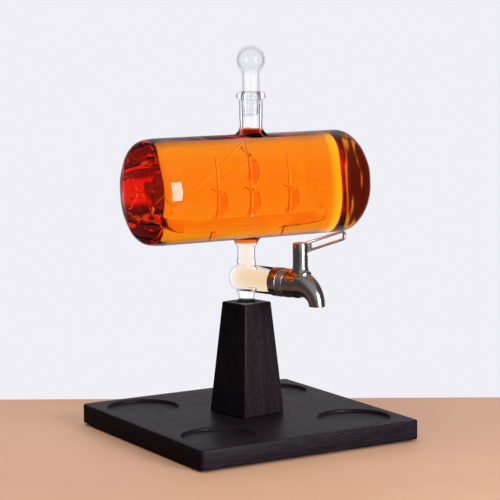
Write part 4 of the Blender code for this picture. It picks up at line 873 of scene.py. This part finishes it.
# %% Ball stopper
BALL_RADIUS = 0.0134
BALL_WALL = 0.0014
SHANK_RADIUS = 0.0084
SHANK_LENGTH = 0.0193
ball_height = SHANK_LENGTH + math.sqrt(BALL_RADIUS ** 2 - SHANK_RADIUS ** 2)
foot_angle = -math.degrees(math.acos(SHANK_RADIUS / BALL_RADIUS))
stopper_profile = [
    (0.0, ball_height + BALL_RADIUS),
    *arc(0.0, ball_height, BALL_RADIUS, 87, foot_angle + 8, 40),
    (SHANK_RADIUS + 0.0002, SHANK_LENGTH - 0.0016),
    (SHANK_RADIUS - 0.0003, SHANK_LENGTH - 0.004),
    (SHANK_RADIUS, 0.0012), (SHANK_RADIUS, 0.0004),
    (0.0085, -0.0005), (0.0074, -PLUG_DEPTH + 0.0008), (0.0066, -PLUG_DEPTH), (0.0, -PLUG_DEPTH),
]
hollow_radius = BALL_RADIUS - BALL_WALL
bubble_profile = [
    (0.0, ball_height + hollow_radius),
    *arc(0.0, ball_height, hollow_radius, 87, -48, 36),
    (0.0070, SHANK_LENGTH - 0.0012), (0.0068, SHANK_LENGTH - 0.006), (0.0068, 0.0),
    (0.0061, -PLUG_DEPTH + 0.0026), (0.0054, -PLUG_DEPTH + 0.0016), (0.0, -PLUG_DEPTH + 0.0014),
]
at_neck = moved(NECK_PLACE, 0.0, LIP_TOP)
stopper = combined(turned(stopper_profile, 128, at_neck),
                   [turned(bubble_profile, 96, at_neck)], "DIFFERENCE")
stopper.materials.clear()
for finish in (TUBE_GLASS, BALL_GLASS):
    stopper.materials.append(finish)
for face in stopper.polygons:
    face.material_index = int(face.center.z > LIP_TOP + SHANK_LENGTH)
set_piece("ball_stopper", stopper, [], "stopper", ["stopper"], sharp=40)

# %% [markdown]
# The ship is lampwork: a drawn hull on two struts, three masts with yards, and bellied sails
# pulled from flattened rod. The hull is lofted through sections, with the shares between the
# stations read off a smooth curve. The round barrel full of spirit magnifies the ship, so it is
# smaller than it looks.

# %% Ship's hull
HULL_STERN = 0.0268 - BARREL_HALF
HULL_BOW = BARREL_HALF - 0.036
HULL_BEAM = 0.026
HULL_DEPTH = 0.0085
HULL_SHEER = 0.002
DECK_HEIGHT = BARREL_HEIGHT - 0.0202
STRUT_PLACES = (-0.359 * BARREL_HALF, 0.313 * BARREL_HALF)
STATIONS = (0.0, 0.06, 0.18, 0.36, 0.58, 0.78, 0.91, 1.0)
BEAM_SHARES = (0.46, 0.72, 0.94, 1.0, 0.97, 0.78, 0.45, 0.05)
DEPTH_SHARES = (0.7, 0.92, 1.0, 1.0, 1.0, 1.0, 0.96, 0.8)
SHEER_SHARES = (0.9, 0.55, 0.2, 0.0, 0.05, 0.3, 0.65, 1.0)


def share_at(share, values):
    """A smooth curve through the values at the stations."""
    last = len(STATIONS) - 1
    spot = max(index for index in range(last) if share >= STATIONS[index])
    slopes = []
    for index in (spot, spot + 1):
        low, high = max(index - 1, 0), min(index + 1, last)
        slopes.append((values[high] - values[low]) / (STATIONS[high] - STATIONS[low]))
    length = STATIONS[spot + 1] - STATIONS[spot]
    t = (share - STATIONS[spot]) / length
    return (values[spot] * (2 * t ** 3 - 3 * t ** 2 + 1)
            + values[spot + 1] * (3 * t ** 2 - 2 * t ** 3)
            + slopes[0] * length * (t ** 3 - 2 * t ** 2 + t)
            + slopes[1] * length * (t ** 3 - t ** 2))


def sheer_at(along):
    """How high the deck's edge stands at a place along the hull."""
    return HULL_SHEER * share_at((along - HULL_STERN) / (HULL_BOW - HULL_STERN), SHEER_SHARES)


hull_rings = []
for station in range(49):
    share = station / 48
    half_beam = HULL_BEAM / 2 * share_at(share, BEAM_SHARES)
    depth = HULL_DEPTH * share_at(share, DEPTH_SHARES)
    deck = DECK_HEIGHT + HULL_SHEER * share_at(share, SHEER_SHARES)
    along = HULL_STERN + (HULL_BOW - HULL_STERN) * share
    ring = []
    for step in range(33):
        angle = math.pi * step / 32
        ring.append((along, half_beam * math.cos(angle), deck - depth * math.sin(angle) ** 0.8))
    hull_rings.append(ring[::-1])
hull = lofted(hull_rings)
strut_floor = BARREL_HEIGHT - BARREL_RADIUS + BARREL_WALL + GAP * 2
strut_top = DECK_HEIGHT - HULL_DEPTH / 2 - strut_floor
strut = softened([
    (0.0, strut_top), (0.0026, strut_top), (0.0022, strut_top - 0.002), (0.0021, 0.0034),
    (0.0026, 0.002), (0.0042, 0.0009), (0.0042, 0.0), (0.0, 0.0),
], 0.0006)
additions = [turned(strut, 48, moved(place, 0.0, strut_floor)) for place in STRUT_PLACES]
lantern = [(0.0, 0.0065), *arc(0.0, 0.0039, 0.0026, 84, -60, 16), (0.0013, 0.0), (0.0013, -0.0022),
           (0.0, -0.0022)]
additions.append(turned(lantern, 48, moved(HULL_STERN + 0.0026, 0.0, DECK_HEIGHT + HULL_SHEER)))
hull = combined(hull, additions)
set_piece("ship_hull_glass", hull, [HULL_GLASS], "vessel", ["ship_hull"])

# %% [markdown]
# A mast is a drawn rod, its yards lie across it, and each sail is a sheet that bellies forward.
# A sheet is easiest to make as a front and a back grid a glass's thickness apart. It is so thin
# that it hardly bends the light: what shows it is its warm tint, which is painted shade.

# %% Masts and sails
SAIL_BULGE = 0.008
SAIL_THICKNESS = 0.0008
SLOPE_STEP = 0.01
MAIN_PLACE = -0.0276 * BARREL_HALF
AFT_PLACE = -0.331 * BARREL_HALF
FORE_PLACE = 0.334 * BARREL_HALF


def belly(across, down):
    """How far forward the sail stands at a place on it."""
    hang = 0.08 + 0.92 * down
    return SAIL_BULGE * math.sin(math.pi * hang) * (1 - (2 * across) ** 2 * 0.45)


def sail(width, height, at, columns=18, rows=18):
    """A bellied sheet of glass that hangs from its head."""
    sheets = []
    for side in (1, -1):
        for row in range(rows + 1):
            for column in range(columns + 1):
                across, down = column / columns - 0.5, row / rows
                change_y = belly(across + SLOPE_STEP, down) - belly(across - SLOPE_STEP, down)
                change_z = belly(across, down + SLOPE_STEP) - belly(across, down - SLOPE_STEP)
                way = Vector((2 * SLOPE_STEP, -change_y / width, change_z / height)).normalized()
                spot = Vector((belly(across, down), width * across, -height * down))
                sheets.append(spot + way * SAIL_THICKNESS / 2 * side)
    wide = columns + 1
    half = wide * (rows + 1)
    faces = []
    for row in range(rows):
        for column in range(columns):
            corner = row * wide + column
            front = [corner, corner + wide, corner + wide + 1, corner + 1]
            faces.append(front)
            faces.append([index + half for index in reversed(front)])
    rim = list(range(wide)) + [row * wide + columns for row in range(1, rows + 1)]
    rim += [rows * wide + column for column in range(columns - 1, -1, -1)]
    rim += [row * wide for row in range(rows - 1, 0, -1)]
    for here, there in zip(rim, rim[1:] + rim[:1]):
        faces.append([here, there, there + half, here + half])
    mesh = mesh_of(sheets, faces)
    mesh.transform(at)
    mesh.materials.append(SAIL_GLASS)
    return mesh


def mast(name, node, along, rise, sails):
    """A mast with its yards and sails melted on. Sails are (head, width, height)."""
    foot = DECK_HEIGHT + sheer_at(along) + GAP
    top = BARREL_HEIGHT + rise - foot
    pole = [(0.0, top), (0.0007, top - 0.0002), (0.001, top - 0.001), (0.0017, top / 2),
            (0.0018, 0.0012), (0.0024, 0.0), (0.0, 0.0)]
    shape = turned(softened(pole, 0.0003), 40, moved(along, 0.0, foot))
    shape.materials.append(SHIP_GLASS)
    parts = []
    for head, width, height in sails:
        reach = width / 2 + 0.0025
        yard = softened([(0.0, reach), (0.0011, reach), (0.0011, -reach), (0.0, -reach)], 0.0007)
        parts.append(turned(yard, 32, moved(along, 0.0, BARREL_HEIGHT + head, ALONG_TAP)))
        parts[-1].materials.append(SHIP_GLASS)
        parts.append(sail(width, height, moved(along, 0.0, BARREL_HEIGHT + head)))
    set_piece(name, combined(shape, parts), [], "vessel", [node])


MAINSAIL = (-0.0022, 0.026, 0.016)
TOPSAIL = (0.0215, 0.023, 0.0185)
mast("main_mast_glass", "ship_main_mast", MAIN_PLACE, 0.034, [MAINSAIL, TOPSAIL])
mast("aft_mast_glass", "ship_aft_mast", AFT_PLACE, 0.0205, [MAINSAIL])
mast("fore_mast_glass", "ship_fore_mast", FORE_PLACE, 0.0205, [MAINSAIL])

# %% [markdown]
# The spar over the bow and the rigging are thin pulled threads, each ending a hair short of
# what it is melted to. A curve with a round bevel would do for them. A turned profile between
# two points also gives each its round ends, and lets the spar taper.

# %% Bowsprit and threads
def rod(start, end, first, last, steps=24):
    """A thin rod between two points, with round ends and its own radius at each."""
    run = end - start
    length = run.length
    turn = Vector((0.0, 0.0, 1.0)).rotation_difference(run).to_matrix().to_4x4()
    profile = [(0.0, length), (last * 0.7, length - last * 0.3), (last, length - last),
               (first, first), (first * 0.7, first * 0.3), (0.0, 0.0)]
    return turned(profile, steps, Matrix.Translation(start) @ turn)


def on_mast(along, rise):
    """A point on a mast, by its height above the barrel's middle."""
    return Vector((along, 0.0, BARREL_HEIGHT + rise))


spar_start = Vector((HULL_BOW - 0.009, 0.0, DECK_HEIGHT + HULL_SHEER + 0.0014 + GAP))
spar_end = spar_start + Vector((0.0166, 0.0, 0.006))
set_piece("bowsprit_glass", rod(spar_start, spar_end, 0.0014, 0.0007), [SHIP_GLASS], "vessel",
          ["ship_bowsprit"])
stern_knob = Vector((HULL_STERN + 0.0026, 0.0, DECK_HEIGHT + HULL_SHEER + 0.0065))
THREAD_RADIUS = 0.0006
THREAD_GAP = 0.0026
threads = {
    "main_upper": (on_mast(MAIN_PLACE, 0.034), on_mast(AFT_PLACE, 0.0125)),
    "main_lower": (on_mast(MAIN_PLACE, 0.0165), on_mast(AFT_PLACE, 0.005)),
    "aft": (on_mast(AFT_PLACE, 0.0125), stern_knob),
    "fore": (on_mast(FORE_PLACE, 0.0085), spar_end + Vector((0.0, 0.0, 0.0014))),
}
for name, (start, end) in threads.items():
    inward = (end - start).normalized() * THREAD_GAP
    thread = rod(start + inward, end - inward, THREAD_RADIUS, THREAD_RADIUS)
    set_piece(f"thread_{name}", thread, [SHIP_GLASS], "vessel", [f"ship_stay_{name}"])

# %% [markdown]
# The tap's rings are turned on a lathe: a thin steel ferrule over the glass, a soft gasket, and
# a grooved ring that the fingers tighten. Behind them a silicone bung seals the tube. All four
# are closed profiles with eased corners, turned about the tap's axis, so one function makes
# them.

# %% Ferrule, gasket, lock ring and bung
SHANK_BORE = 0.0053
FERRULE_RADIUS = 0.0137
FERRULE_START = CROSS_FRONT - 0.0073
FERRULE_INNER = CROSS_FRONT + GAP
FERRULE_END = FERRULE_INNER + 0.0014
GASKET_RADIUS = 0.0131
GASKET_START = FERRULE_END + GAP
GASKET_END = GASKET_START + 0.0024
RING_RADIUS = 0.0135
RING_GROOVE = 0.0131
RING_START = GASKET_END + GAP
RING_END = RING_START + 0.005
RIDGES = 3
BUNG_END = CROSS_FRONT - 0.002
BUNG_RADIUS = CROSS_BORE - GAP
NUT_POCKET = 0.0088
NUT_POCKET_END = BUNG_BACK + 0.0043


def tap_ring(name, node, profile, cut, finish, steps=128):
    """A ring about the tap's axis, from a closed profile of (radius, place along the tap)."""
    shape = turned(softened(profile, cut, closed=True), steps, AT_TAP, True)
    set_piece(name, shape, [finish], "vessel", [node], turn=TAP_TURN)


tap_ring("steel_ferrule", "tap_ferrule", [
    (FERRULE_RADIUS, FERRULE_END), (FERRULE_RADIUS, FERRULE_START),
    (CROSS_RADIUS + GAP, FERRULE_START), (CROSS_RADIUS + GAP, FERRULE_INNER),
    (SHANK_BORE, FERRULE_INNER), (SHANK_BORE, FERRULE_END),
], 0.0004, STEEL)
tap_ring("soft_gasket", "tap_gasket", [
    (GASKET_RADIUS - 0.0006, GASKET_END), (GASKET_RADIUS, GASKET_END - 0.0008),
    (GASKET_RADIUS, GASKET_START + 0.0008), (GASKET_RADIUS - 0.0006, GASKET_START),
    (SHANK_BORE, GASKET_START), (SHANK_BORE, GASKET_END),
], 0.0005, GASKET_SILICONE)

pitch = (RING_END - RING_START) / RIDGES
lock_ring = []
for ridge in range(RIDGES):
    top = RING_END - pitch * ridge
    lock_ring += [(RING_GROOVE, top), (RING_RADIUS, top - 0.0003),
                  (RING_RADIUS, top - pitch + 0.0004)]
lock_ring += [(RING_GROOVE, RING_START), (SHANK_BORE, RING_START), (SHANK_BORE, RING_END)]
tap_ring("lock_ring", "tap_lock_ring", lock_ring, 0.0002, STEEL)
tap_ring("silicone_bung", "tap_bung", [
    (BUNG_RADIUS, BUNG_END), (BUNG_RADIUS, BUNG_END - 0.0022),
    (BUNG_RADIUS - 0.0004, BUNG_END - 0.0037), (BUNG_RADIUS, BUNG_BACK + 0.0022),
    (BUNG_RADIUS, BUNG_BACK), (NUT_POCKET, BUNG_BACK), (NUT_POCKET, NUT_POCKET_END),
    (SHANK_BORE, NUT_POCKET_END), (SHANK_BORE, BUNG_END),
], 0.0006, SILICONE, 96)

# %% [markdown]
# The tap's body is a steel casting, turned and polished: a straight barrel that bends down into
# a narrower spout, with a tower for the valve. A swept tube with a radius at each ring gives
# the bend, and its rings run on round the lip and back up inside the mouth. The tower's foot is
# drawn down on to the barrel, and a well is bored in it for the turning plug.

# %% Tap body
BODY_START = RING_END + GAP
BODY_RADIUS = 0.0131
TOWER_PLACE = BODY_START + 0.0124
TOWER_RADIUS = 0.0071
TOWER_RISE = 0.0267
TOWER_FLARE = 0.004
WELL_RADIUS = 0.0055
WELL_DEPTH = 0.0088
SPOUT_REACH = 0.0198
SPOUT_DROP = 0.0188
SPOUT_RADIUS = 0.0076
SPOUT_BORE = 0.0056


def spout_at(share):
    """The middle, the direction and the radius of the bend, from the tower to the mouth."""
    angle = math.pi / 2 * share
    middle = Vector((0.0, -TOWER_PLACE - SPOUT_REACH * math.sin(angle),
                     CROSS_HEIGHT - SPOUT_DROP * (1 - math.cos(angle))))
    way = Vector((0.0, -SPOUT_REACH * math.cos(angle), -SPOUT_DROP * math.sin(angle))).normalized()
    radius = BODY_RADIUS + (SPOUT_RADIUS - BODY_RADIUS) * math.sin(angle) ** 1.2
    return middle, way, radius


def swept(stations, steps=96):
    """A closed shape through round sections, each given by its middle, direction and radius."""
    rings = []
    for middle, way, radius in stations:
        across = Vector((1.0, 0.0, 0.0))
        up = across.cross(way).normalized()
        ring = []
        for step in range(steps):
            angle = math.tau * step / steps
            ring.append(middle + (across * math.cos(angle) + up * math.sin(angle)) * radius)
        rings.append(ring)
    return lofted(rings)


body_stations = []
for along, swell in ((0.0, -0.0002), (0.0003, 0.0003), (0.0018, 0.0004), (0.0026, 0.0),
                     (0.0070, 0.0)):
    middle = Vector((0.0, -(BODY_START + along), CROSS_HEIGHT))
    body_stations.append((middle, Vector((0.0, -1.0, 0.0)), BODY_RADIUS + swell))
body_stations += [spout_at(step / 48) for step in range(49)]
mouth, way, lip = body_stations.pop()
for rise, radius in ((0.0006, lip), (0.0001, lip - 0.0001), (0.0, lip - 0.0005),
                     (0.0, SPOUT_BORE + 0.0004), (0.0005, SPOUT_BORE), (0.008, SPOUT_BORE),
                     (0.0095, 0.0038)):
    body_stations.append((mouth + Vector((0, 0, rise)), way, radius))
body = swept(body_stations)

tower_profile = [
    (0.0, TOWER_RISE), (TOWER_RADIUS, TOWER_RISE), (TOWER_RADIUS, BODY_RADIUS + 0.0042),
    (TOWER_RADIUS + 0.0004, BODY_RADIUS + 0.0019), (TOWER_RADIUS + 0.0014, BODY_RADIUS + 0.0003),
    (TOWER_RADIUS + 0.0032, BODY_RADIUS - 0.0008), (TOWER_RADIUS + 0.0032, BODY_RADIUS - 0.004),
    (TOWER_RADIUS - 0.001, 0.0), (0.0, 0.0),
]
tower = turned(softened(tower_profile, 0.0006, 4), 96)
for vertex in tower.vertices:
    share = eased(1 - (vertex.co.z - BODY_RADIUS) / TOWER_FLARE)
    drop = BODY_RADIUS - math.sqrt(BODY_RADIUS ** 2 - min(abs(vertex.co.x), 0.011) ** 2)
    vertex.co.z -= drop * share
at_tower = moved(0.0, -TOWER_PLACE, CROSS_HEIGHT)
tower.transform(at_tower)
shank = turned([
    (0.0, BODY_START + 0.003), (0.008, BODY_START + 0.003), (0.008, BODY_START - GAP / 2),
    (0.005, BODY_START - GAP / 2), (0.005, BUNG_BACK - 0.0006), (0.0044, BUNG_BACK - 0.0012),
    (0.0, BUNG_BACK - 0.0012),
], 64, AT_TAP)


def ring_sector(inner, outer, bottom, top, start, end, steps=16):
    """A block between two radii and two angles, in degrees."""
    rings = []
    for step in range(steps + 1):
        angle = math.radians(start + (end - start) * step / steps)
        out = Vector((math.cos(angle), math.sin(angle), 0.0))
        rings.append([out * inner + Vector((0, 0, bottom)), out * inner + Vector((0, 0, top)),
                      out * outer + Vector((0, 0, top)), out * outer + Vector((0, 0, bottom))])
    return lofted(rings)


STOP_ANGLE = -70
stop_lug = ring_sector(0.0058, 0.0068, TOWER_RISE - 0.002, TOWER_RISE + 0.002,
                       STOP_ANGLE - 10, STOP_ANGLE + 10)
stop_lug.transform(at_tower)
body = combined(body, [tower, shank, stop_lug])
well = turned([(0.0, TOWER_RISE + 0.004), (WELL_RADIUS, TOWER_RISE + 0.004),
               (WELL_RADIUS, -WELL_DEPTH), (0.0, -WELL_DEPTH)], 64, at_tower)
body = combined(body, [well], "DIFFERENCE")
set_piece("tap_casting", body, [STEEL], "vessel", ["tap_body"], sharp=40, turn=TAP_TURN)

# %% [markdown]
# The cap turns on the tower. A slot in its side takes the lever's tongue, and a wider slot low
# down lets a lug on the tower stop it after a quarter turn. Both slots are cut with the shape
# that a mill would leave, which is shorter than drawing their edges one by one. A screw through
# the cap's top holds it to the stem of the plug.

# %% Cap and its screw
CAP_BOTTOM = CROSS_HEIGHT + TOWER_RISE + GAP
CAP_HEIGHT = 0.0117
LEVER_TILT = math.radians(9.4)
LEVER_TURN = math.radians(-10)
LEVER_ROOT = CAP_BOTTOM + CAP_HEIGHT / 2
cap_profile = [
    (0.0065, CAP_HEIGHT), (0.0069, CAP_HEIGHT - 0.0001), (0.0071, CAP_HEIGHT - 0.0005),
    (0.0071, 0.0001), (0.0070, 0.0), (0.0034, 0.0), (0.0033, 0.0002), (0.0033, CAP_HEIGHT - 0.0034),
    (0.0015, CAP_HEIGHT - 0.0034), (0.0015, CAP_HEIGHT - 0.0017), (0.0029, CAP_HEIGHT - GAP),
    (0.0030, CAP_HEIGHT),
]
at_cap = moved(0.0, -TOWER_PLACE, CAP_BOTTOM)
stop_slot = ring_sector(0.0055, 0.0111, -0.004, 0.0023, STOP_ANGLE - 13, STOP_ANGLE + 103, 40)
stop_slot.transform(at_cap)
lever_slot = lofted([[(x, -0.0021, -0.0029), (x, 0.0021, -0.0029),
                      (x, 0.0021, 0.0029), (x, -0.0021, 0.0029)] for x in (0.0043, 0.0154)])
lever_way = Matrix.Rotation(LEVER_TURN, 4, "Z") @ Matrix.Rotation(-LEVER_TILT, 4, "Y")
AT_LEVER = moved(0.0, -TOWER_PLACE, LEVER_ROOT, lever_way)
lever_slot.transform(AT_LEVER)
cap = combined(turned(cap_profile, 96, at_cap, True), [stop_slot, lever_slot], "DIFFERENCE")
set_piece("turning_cap", cap, [STEEL], "tap_valve", ["tap_cap"], sharp=40, turn=TAP_TURN)

cap_screw = turned([
    (0.0, -0.0007), (0.0011, -0.0007), (0.0013, -0.0001), (0.0024, 0.0), (0.0026, -0.0001),
    (0.0026, -GAP), (0.0012, -0.0014), (0.0012, -0.0075), (0.0, -0.0075),
], 48, moved(0.0, -TOWER_PLACE, CAP_BOTTOM + CAP_HEIGHT - GAP))
set_piece("socket_screw", cap_screw, [SCREW_STEEL], "tap_valve", ["cap_screw"],
          sharp=25, turn=TAP_TURN)

# %% [markdown]
# The lever is a flat bar with a long slot, stamped and then tumbled until its edges are round.
# Two nested outlines on a filled curve give the bar and its slot at once, and the curve's own
# bevel rounds the edges.

# %% Lever
LEVER_REACH = 0.0565
LEVER_HEIGHT = 0.0096
LEVER_BAR = 0.002
LEVER_THICKNESS = 0.0036
LEVER_ROUND = 0.0006


def bar_outline(left, right, half, steps=24):
    """A bar with a round right end and a square left end."""
    centre = right - half
    points = [(left, -half)]
    for step in range(steps + 1):
        angle = math.pi * (step / steps - 0.5)
        points.append((centre + half * math.cos(angle), half * math.sin(angle)))
    return points + [(left, half)]


tongue_half = 0.0026 - LEVER_ROUND
shoulder = TOWER_RADIUS + GAP + LEVER_ROUND * 2
lever_outline = bar_outline(shoulder, LEVER_REACH - LEVER_ROUND, LEVER_HEIGHT / 2 - LEVER_ROUND)
lever_outline += [(shoulder, tongue_half), (0.0052, tongue_half), (0.0052, -tongue_half),
                  (shoulder, -tongue_half)]
slot_outline = bar_outline(0.0125, LEVER_REACH - LEVER_BAR + LEVER_ROUND,
                           LEVER_HEIGHT / 2 - LEVER_BAR + LEVER_ROUND)
curve = bpy.data.curves.new("lever_outline", "CURVE")
curve.dimensions = "2D"
curve.fill_mode = "BOTH"
curve.extrude = LEVER_THICKNESS / 2 - LEVER_ROUND
curve.bevel_depth = LEVER_ROUND
curve.bevel_resolution = 4
for outline in (lever_outline, slot_outline):
    spline = curve.splines.new("POLY")
    spline.points.add(len(outline) - 1)
    for knot, point in zip(spline.points, outline):
        knot.co = (*point, 0.0, 1.0)
    spline.use_cyclic_u = True
lever = baked(placed("lever_outline", curve))
shape = bmesh.new()
shape.from_mesh(lever)
bmesh.ops.remove_doubles(shape, verts=shape.verts, dist=0.00001)
bmesh.ops.recalc_face_normals(shape, faces=shape.faces)
shape.to_mesh(lever)
shape.free()
lever.transform(AT_LEVER @ Matrix.Rotation(math.pi / 2, 4, "X"))
set_piece("slotted_lever", lever, [LEVER_STEEL], "tap_valve", ["tap_lever"], sharp=40,
          turn=TAP_TURN)

# %% [markdown]
# The pads under the board and the pieces inside the tap and the pillar keep their solids. They
# are plain rings, discs and screws whose shape is already right, and they are out of sight. They
# only get the same steel and rubber as the rest.

# %% Finishes on the hidden solids
HIDDEN_FINISHES = {
    BLACK_RUBBER: ("foot_1", "foot_2", "foot_3", "foot_4", "peg_sleeve", "stem_seal_1",
                   "stem_seal_2"),
    SCREW_STEEL: ("pillar_screw", "screw_washer"),
    STEEL: ("tap_shank_nut", "gland_ring", "valve_plug"),
}
for finish, nodes in HIDDEN_FINISHES.items():
    for node in nodes:
        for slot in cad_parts[node].material_slots:
            slot.material = finish
    print(finish.name, "on", ", ".join(nodes))

# %% [markdown]
# The floor is a plain pale table. It ends behind the decanter, where the wall begins, and it is
# made darker to every ray but the camera's own: a table that really filled the space below
# would put a wide pale band into the bottom of the barrel.

# %% Floor
FLOOR_BEHIND = 0.157
FLOOR_BEFORE = 0.45
FLOOR_HALF = 0.6
FLOOR_THICKNESS = 0.03
FLOOR_TONES = [(0.3, (0.86, 0.50, 0.32)), (0.7, (0.90, 0.54, 0.35))]
FLOOR_IN_GLASS = (0.16, 0.085, 0.05)

floor_ring = [aside * across + ahead * along
              for across, along in ((-FLOOR_HALF, -FLOOR_BEFORE), (FLOOR_HALF, -FLOOR_BEFORE),
                                    (FLOOR_HALF, FLOOR_BEHIND), (-FLOOR_HALF, FLOOR_BEHIND))]
low_ring = [point - Vector((0, 0, FLOOR_THICKNESS)) for point in floor_ring]
floor = placed("pale_floor", lofted([low_ring, floor_ring]))
floor_material, tree, shader = new_finish("pale_floor", Roughness=0.6)
pale = ramp(tree, streaks(tree, 6.0, detail=2.0), FLOOR_TONES)
by_camera = add_node(tree, "ShaderNodeLightPath").outputs["Is Camera Ray"]
tree.links.new(mixed(tree, by_camera, FLOOR_IN_GLASS, pale), shader.inputs["Base Color"])
floor.data.materials.append(floor_material)
floor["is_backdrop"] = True
print("floor:", FLOOR_HALF * 2, "m wide,", round(FLOOR_BEHIND + FLOOR_BEFORE, 3), "m deep")

# %% [markdown]
# Glass and steel show only what is round them, so the studio matters as much as the decanter.
# It is a bright wall ahead, dark flags at both sides, a dim ceiling, a warm table top below and
# a soft glow over the shoulder. A photographer sets a card for each part of such a subject, and
# each card is seen by that part alone. Here one world shader does it: it reads the direction of
# a ray, and whether the ray comes from the camera, from a mirror or through glass. Light that
# has gone through glass many times finds a brighter strip on the left of the wall, which lights
# the barrel's ends, and steel finds a greyer wall, so that it stays darker than the glass.

# %% Walls of the studio
WALL = (0.871, 0.863, 0.922)
LIT_WALL = tuple(value * 1.25 for value in WALL)
BRIGHT_WALL = tuple(value * 2.4 for value in WALL)
MIRRORED_WALL = tuple(value * 0.5 for value in WALL)
DARK = (0.045, 0.034, 0.035)
DARK_MIRRORED = (0.062, 0.056, 0.058)
DARK_IN_GLASS = (0.09, 0.018, 0.014)
CEILING = (0.22, 0.17, 0.15)
BELOW = (0.20, 0.10, 0.06)
GLOW = (0.27, 0.265, 0.27)
GLOW_WAY = (aside * 0.25 - ahead * 0.80 + Vector((0.0, 0.0, 0.55))).normalized()
MANY_CROSSINGS = 5.5

world = bpy.data.worlds.new("studio")
bpy.context.scene.world = world
world.use_nodes = True
room = world.node_tree
direction = add_node(room, "ShaderNodeTexCoord").outputs["Generated"]
rise = add_node(room, "ShaderNodeSeparateXYZ", {"Vector": direction}).outputs["Z"]
ray = add_node(room, "ShaderNodeLightPath").outputs


def worked(operation, *values):
    """One sum of the room's shader, with values or other nodes' outputs."""
    node = add_node(room, "ShaderNodeMath", dict(enumerate(values)), operation=operation)
    return node.outputs["Value"]


def toward(way):
    """How far the ray's direction goes along another one, from -1 to 1."""
    node = add_node(room, "ShaderNodeVectorMath", {0: direction, 1: way}, operation="DOT_PRODUCT")
    return node.outputs["Value"]


def share_between(value, start, end):
    """0 at the start and 1 at the end, with a soft change between them."""
    return spread(room, value, 0.0, 1.0, start, end, "SMOOTHSTEP")


facing = toward(ahead)
slant = worked("DIVIDE", toward(aside), worked("MAXIMUM", facing, 0.02))
dark = mixed(room, ray["Is Glossy Ray"], DARK, DARK_MIRRORED)
dark = mixed(room, ray["Is Transmission Ray"], dark, DARK_IN_GLASS)
often = worked("GREATER_THAN", ray["Transmission Depth"], MANY_CROSSINGS)
lit = worked("MULTIPLY", share_between(slant, -0.12, -0.28), often)
wall = mixed(room, lit, LIT_WALL, BRIGHT_WALL)
steel_wall = mixed(room, ray["Is Glossy Ray"], wall, MIRRORED_WALL)
wall = mixed(room, ray["Is Transmission Ray"], steel_wall, wall)
view = mixed(room, share_between(worked("ABSOLUTE", slant), 0.80, 0.55), dark, wall)
from_side = worked("MULTIPLY", share_between(facing, 0.31, 0.2), ray["Is Transmission Ray"])
view = mixed(room, from_side, view, WALL)
view = mixed(room, share_between(rise, 0.60, 0.84), view, CEILING)
view = mixed(room, share_between(rise, -0.56, -0.86), view, BELOW)
view = mixed(room, share_between(toward(GLOW_WAY), 0.62, 0.98), view, GLOW)
view = mixed(room, ray["Is Camera Ray"], view, WALL)
room.links.new(view, room.nodes["Background"].inputs["Color"])
print("room:", len(room.nodes), "nodes")

# %% [markdown]
# One tall softbox stands on the right of the camera. It makes the white patch on the barrel's
# left, the long bright band down the tap and the light on the pillar's side. A wide panel
# overhead fills in the board and the floor. It is kept out of glass and steel, because its
# reflection would lie as a white sheet on top of the barrel. Glowing planes would light the
# scene as well, but an area light can be hidden from one kind of ray and stay for the others.

# %% Softboxes
def softbox(name, round_by, distance, height, size, radiance):
    """A lit panel that faces the decanter. Round_by is in degrees from the camera."""
    azimuth = VIEW_AZIMUTH + math.radians(round_by)
    place = Vector((math.sin(azimuth), -math.cos(azimuth), 0.0)) * distance + Vector((0, 0, height))
    light = bpy.data.lights.new(name, "AREA")
    light.shape = "RECTANGLE"
    light.size, light.size_y = size
    light.energy = radiance * math.pi * size[0] * size[1]
    item = placed(name, light)
    item.location = place
    item.rotation_mode = "QUATERNION"
    item.rotation_quaternion = (place - Vector((0, 0, 0.2))).to_track_quat("Z", "Y")
    item.visible_camera = False
    print(name, "at", [round(value, 2) for value in place], "power", round(light.energy, 1), "W")
    return item


softbox("softbox", round_by=43, distance=1.5, height=0.36, size=(0.50, 1.0), radiance=13.0)
overhead = softbox("ceiling_panel", round_by=-60, distance=0.4, height=1.6, size=(1.4, 1.4),
                   radiance=2.0)
overhead.visible_glossy = False
overhead.visible_transmission = False

# %% [markdown]
# Light crosses the barrel's wall, the spirit and the ship many times before it comes out, so it
# is followed through 28 surfaces. With fewer, the ship would turn black. Colours are shown as
# they are, with no film look over them.

# %% How far light is followed
scene = bpy.context.scene
scene.view_settings.view_transform = "Standard"
scene.view_settings.look = "None"
scene.cycles.max_bounces = 28
scene.cycles.transmission_bounces = 28
scene.cycles.glossy_bounces = 8
scene.cycles.transparent_max_bounces = 16
scene.cycles.sample_clamp_indirect = 6.0
print("light is followed through", scene.cycles.transmission_bounces, "surfaces")

# %% [markdown]
# Last, the size of the dressed object is measured and printed.

# %% Size and finish
low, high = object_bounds()
print("dressed box:", [round(b - a, 4) for a, b in zip(low, high)])
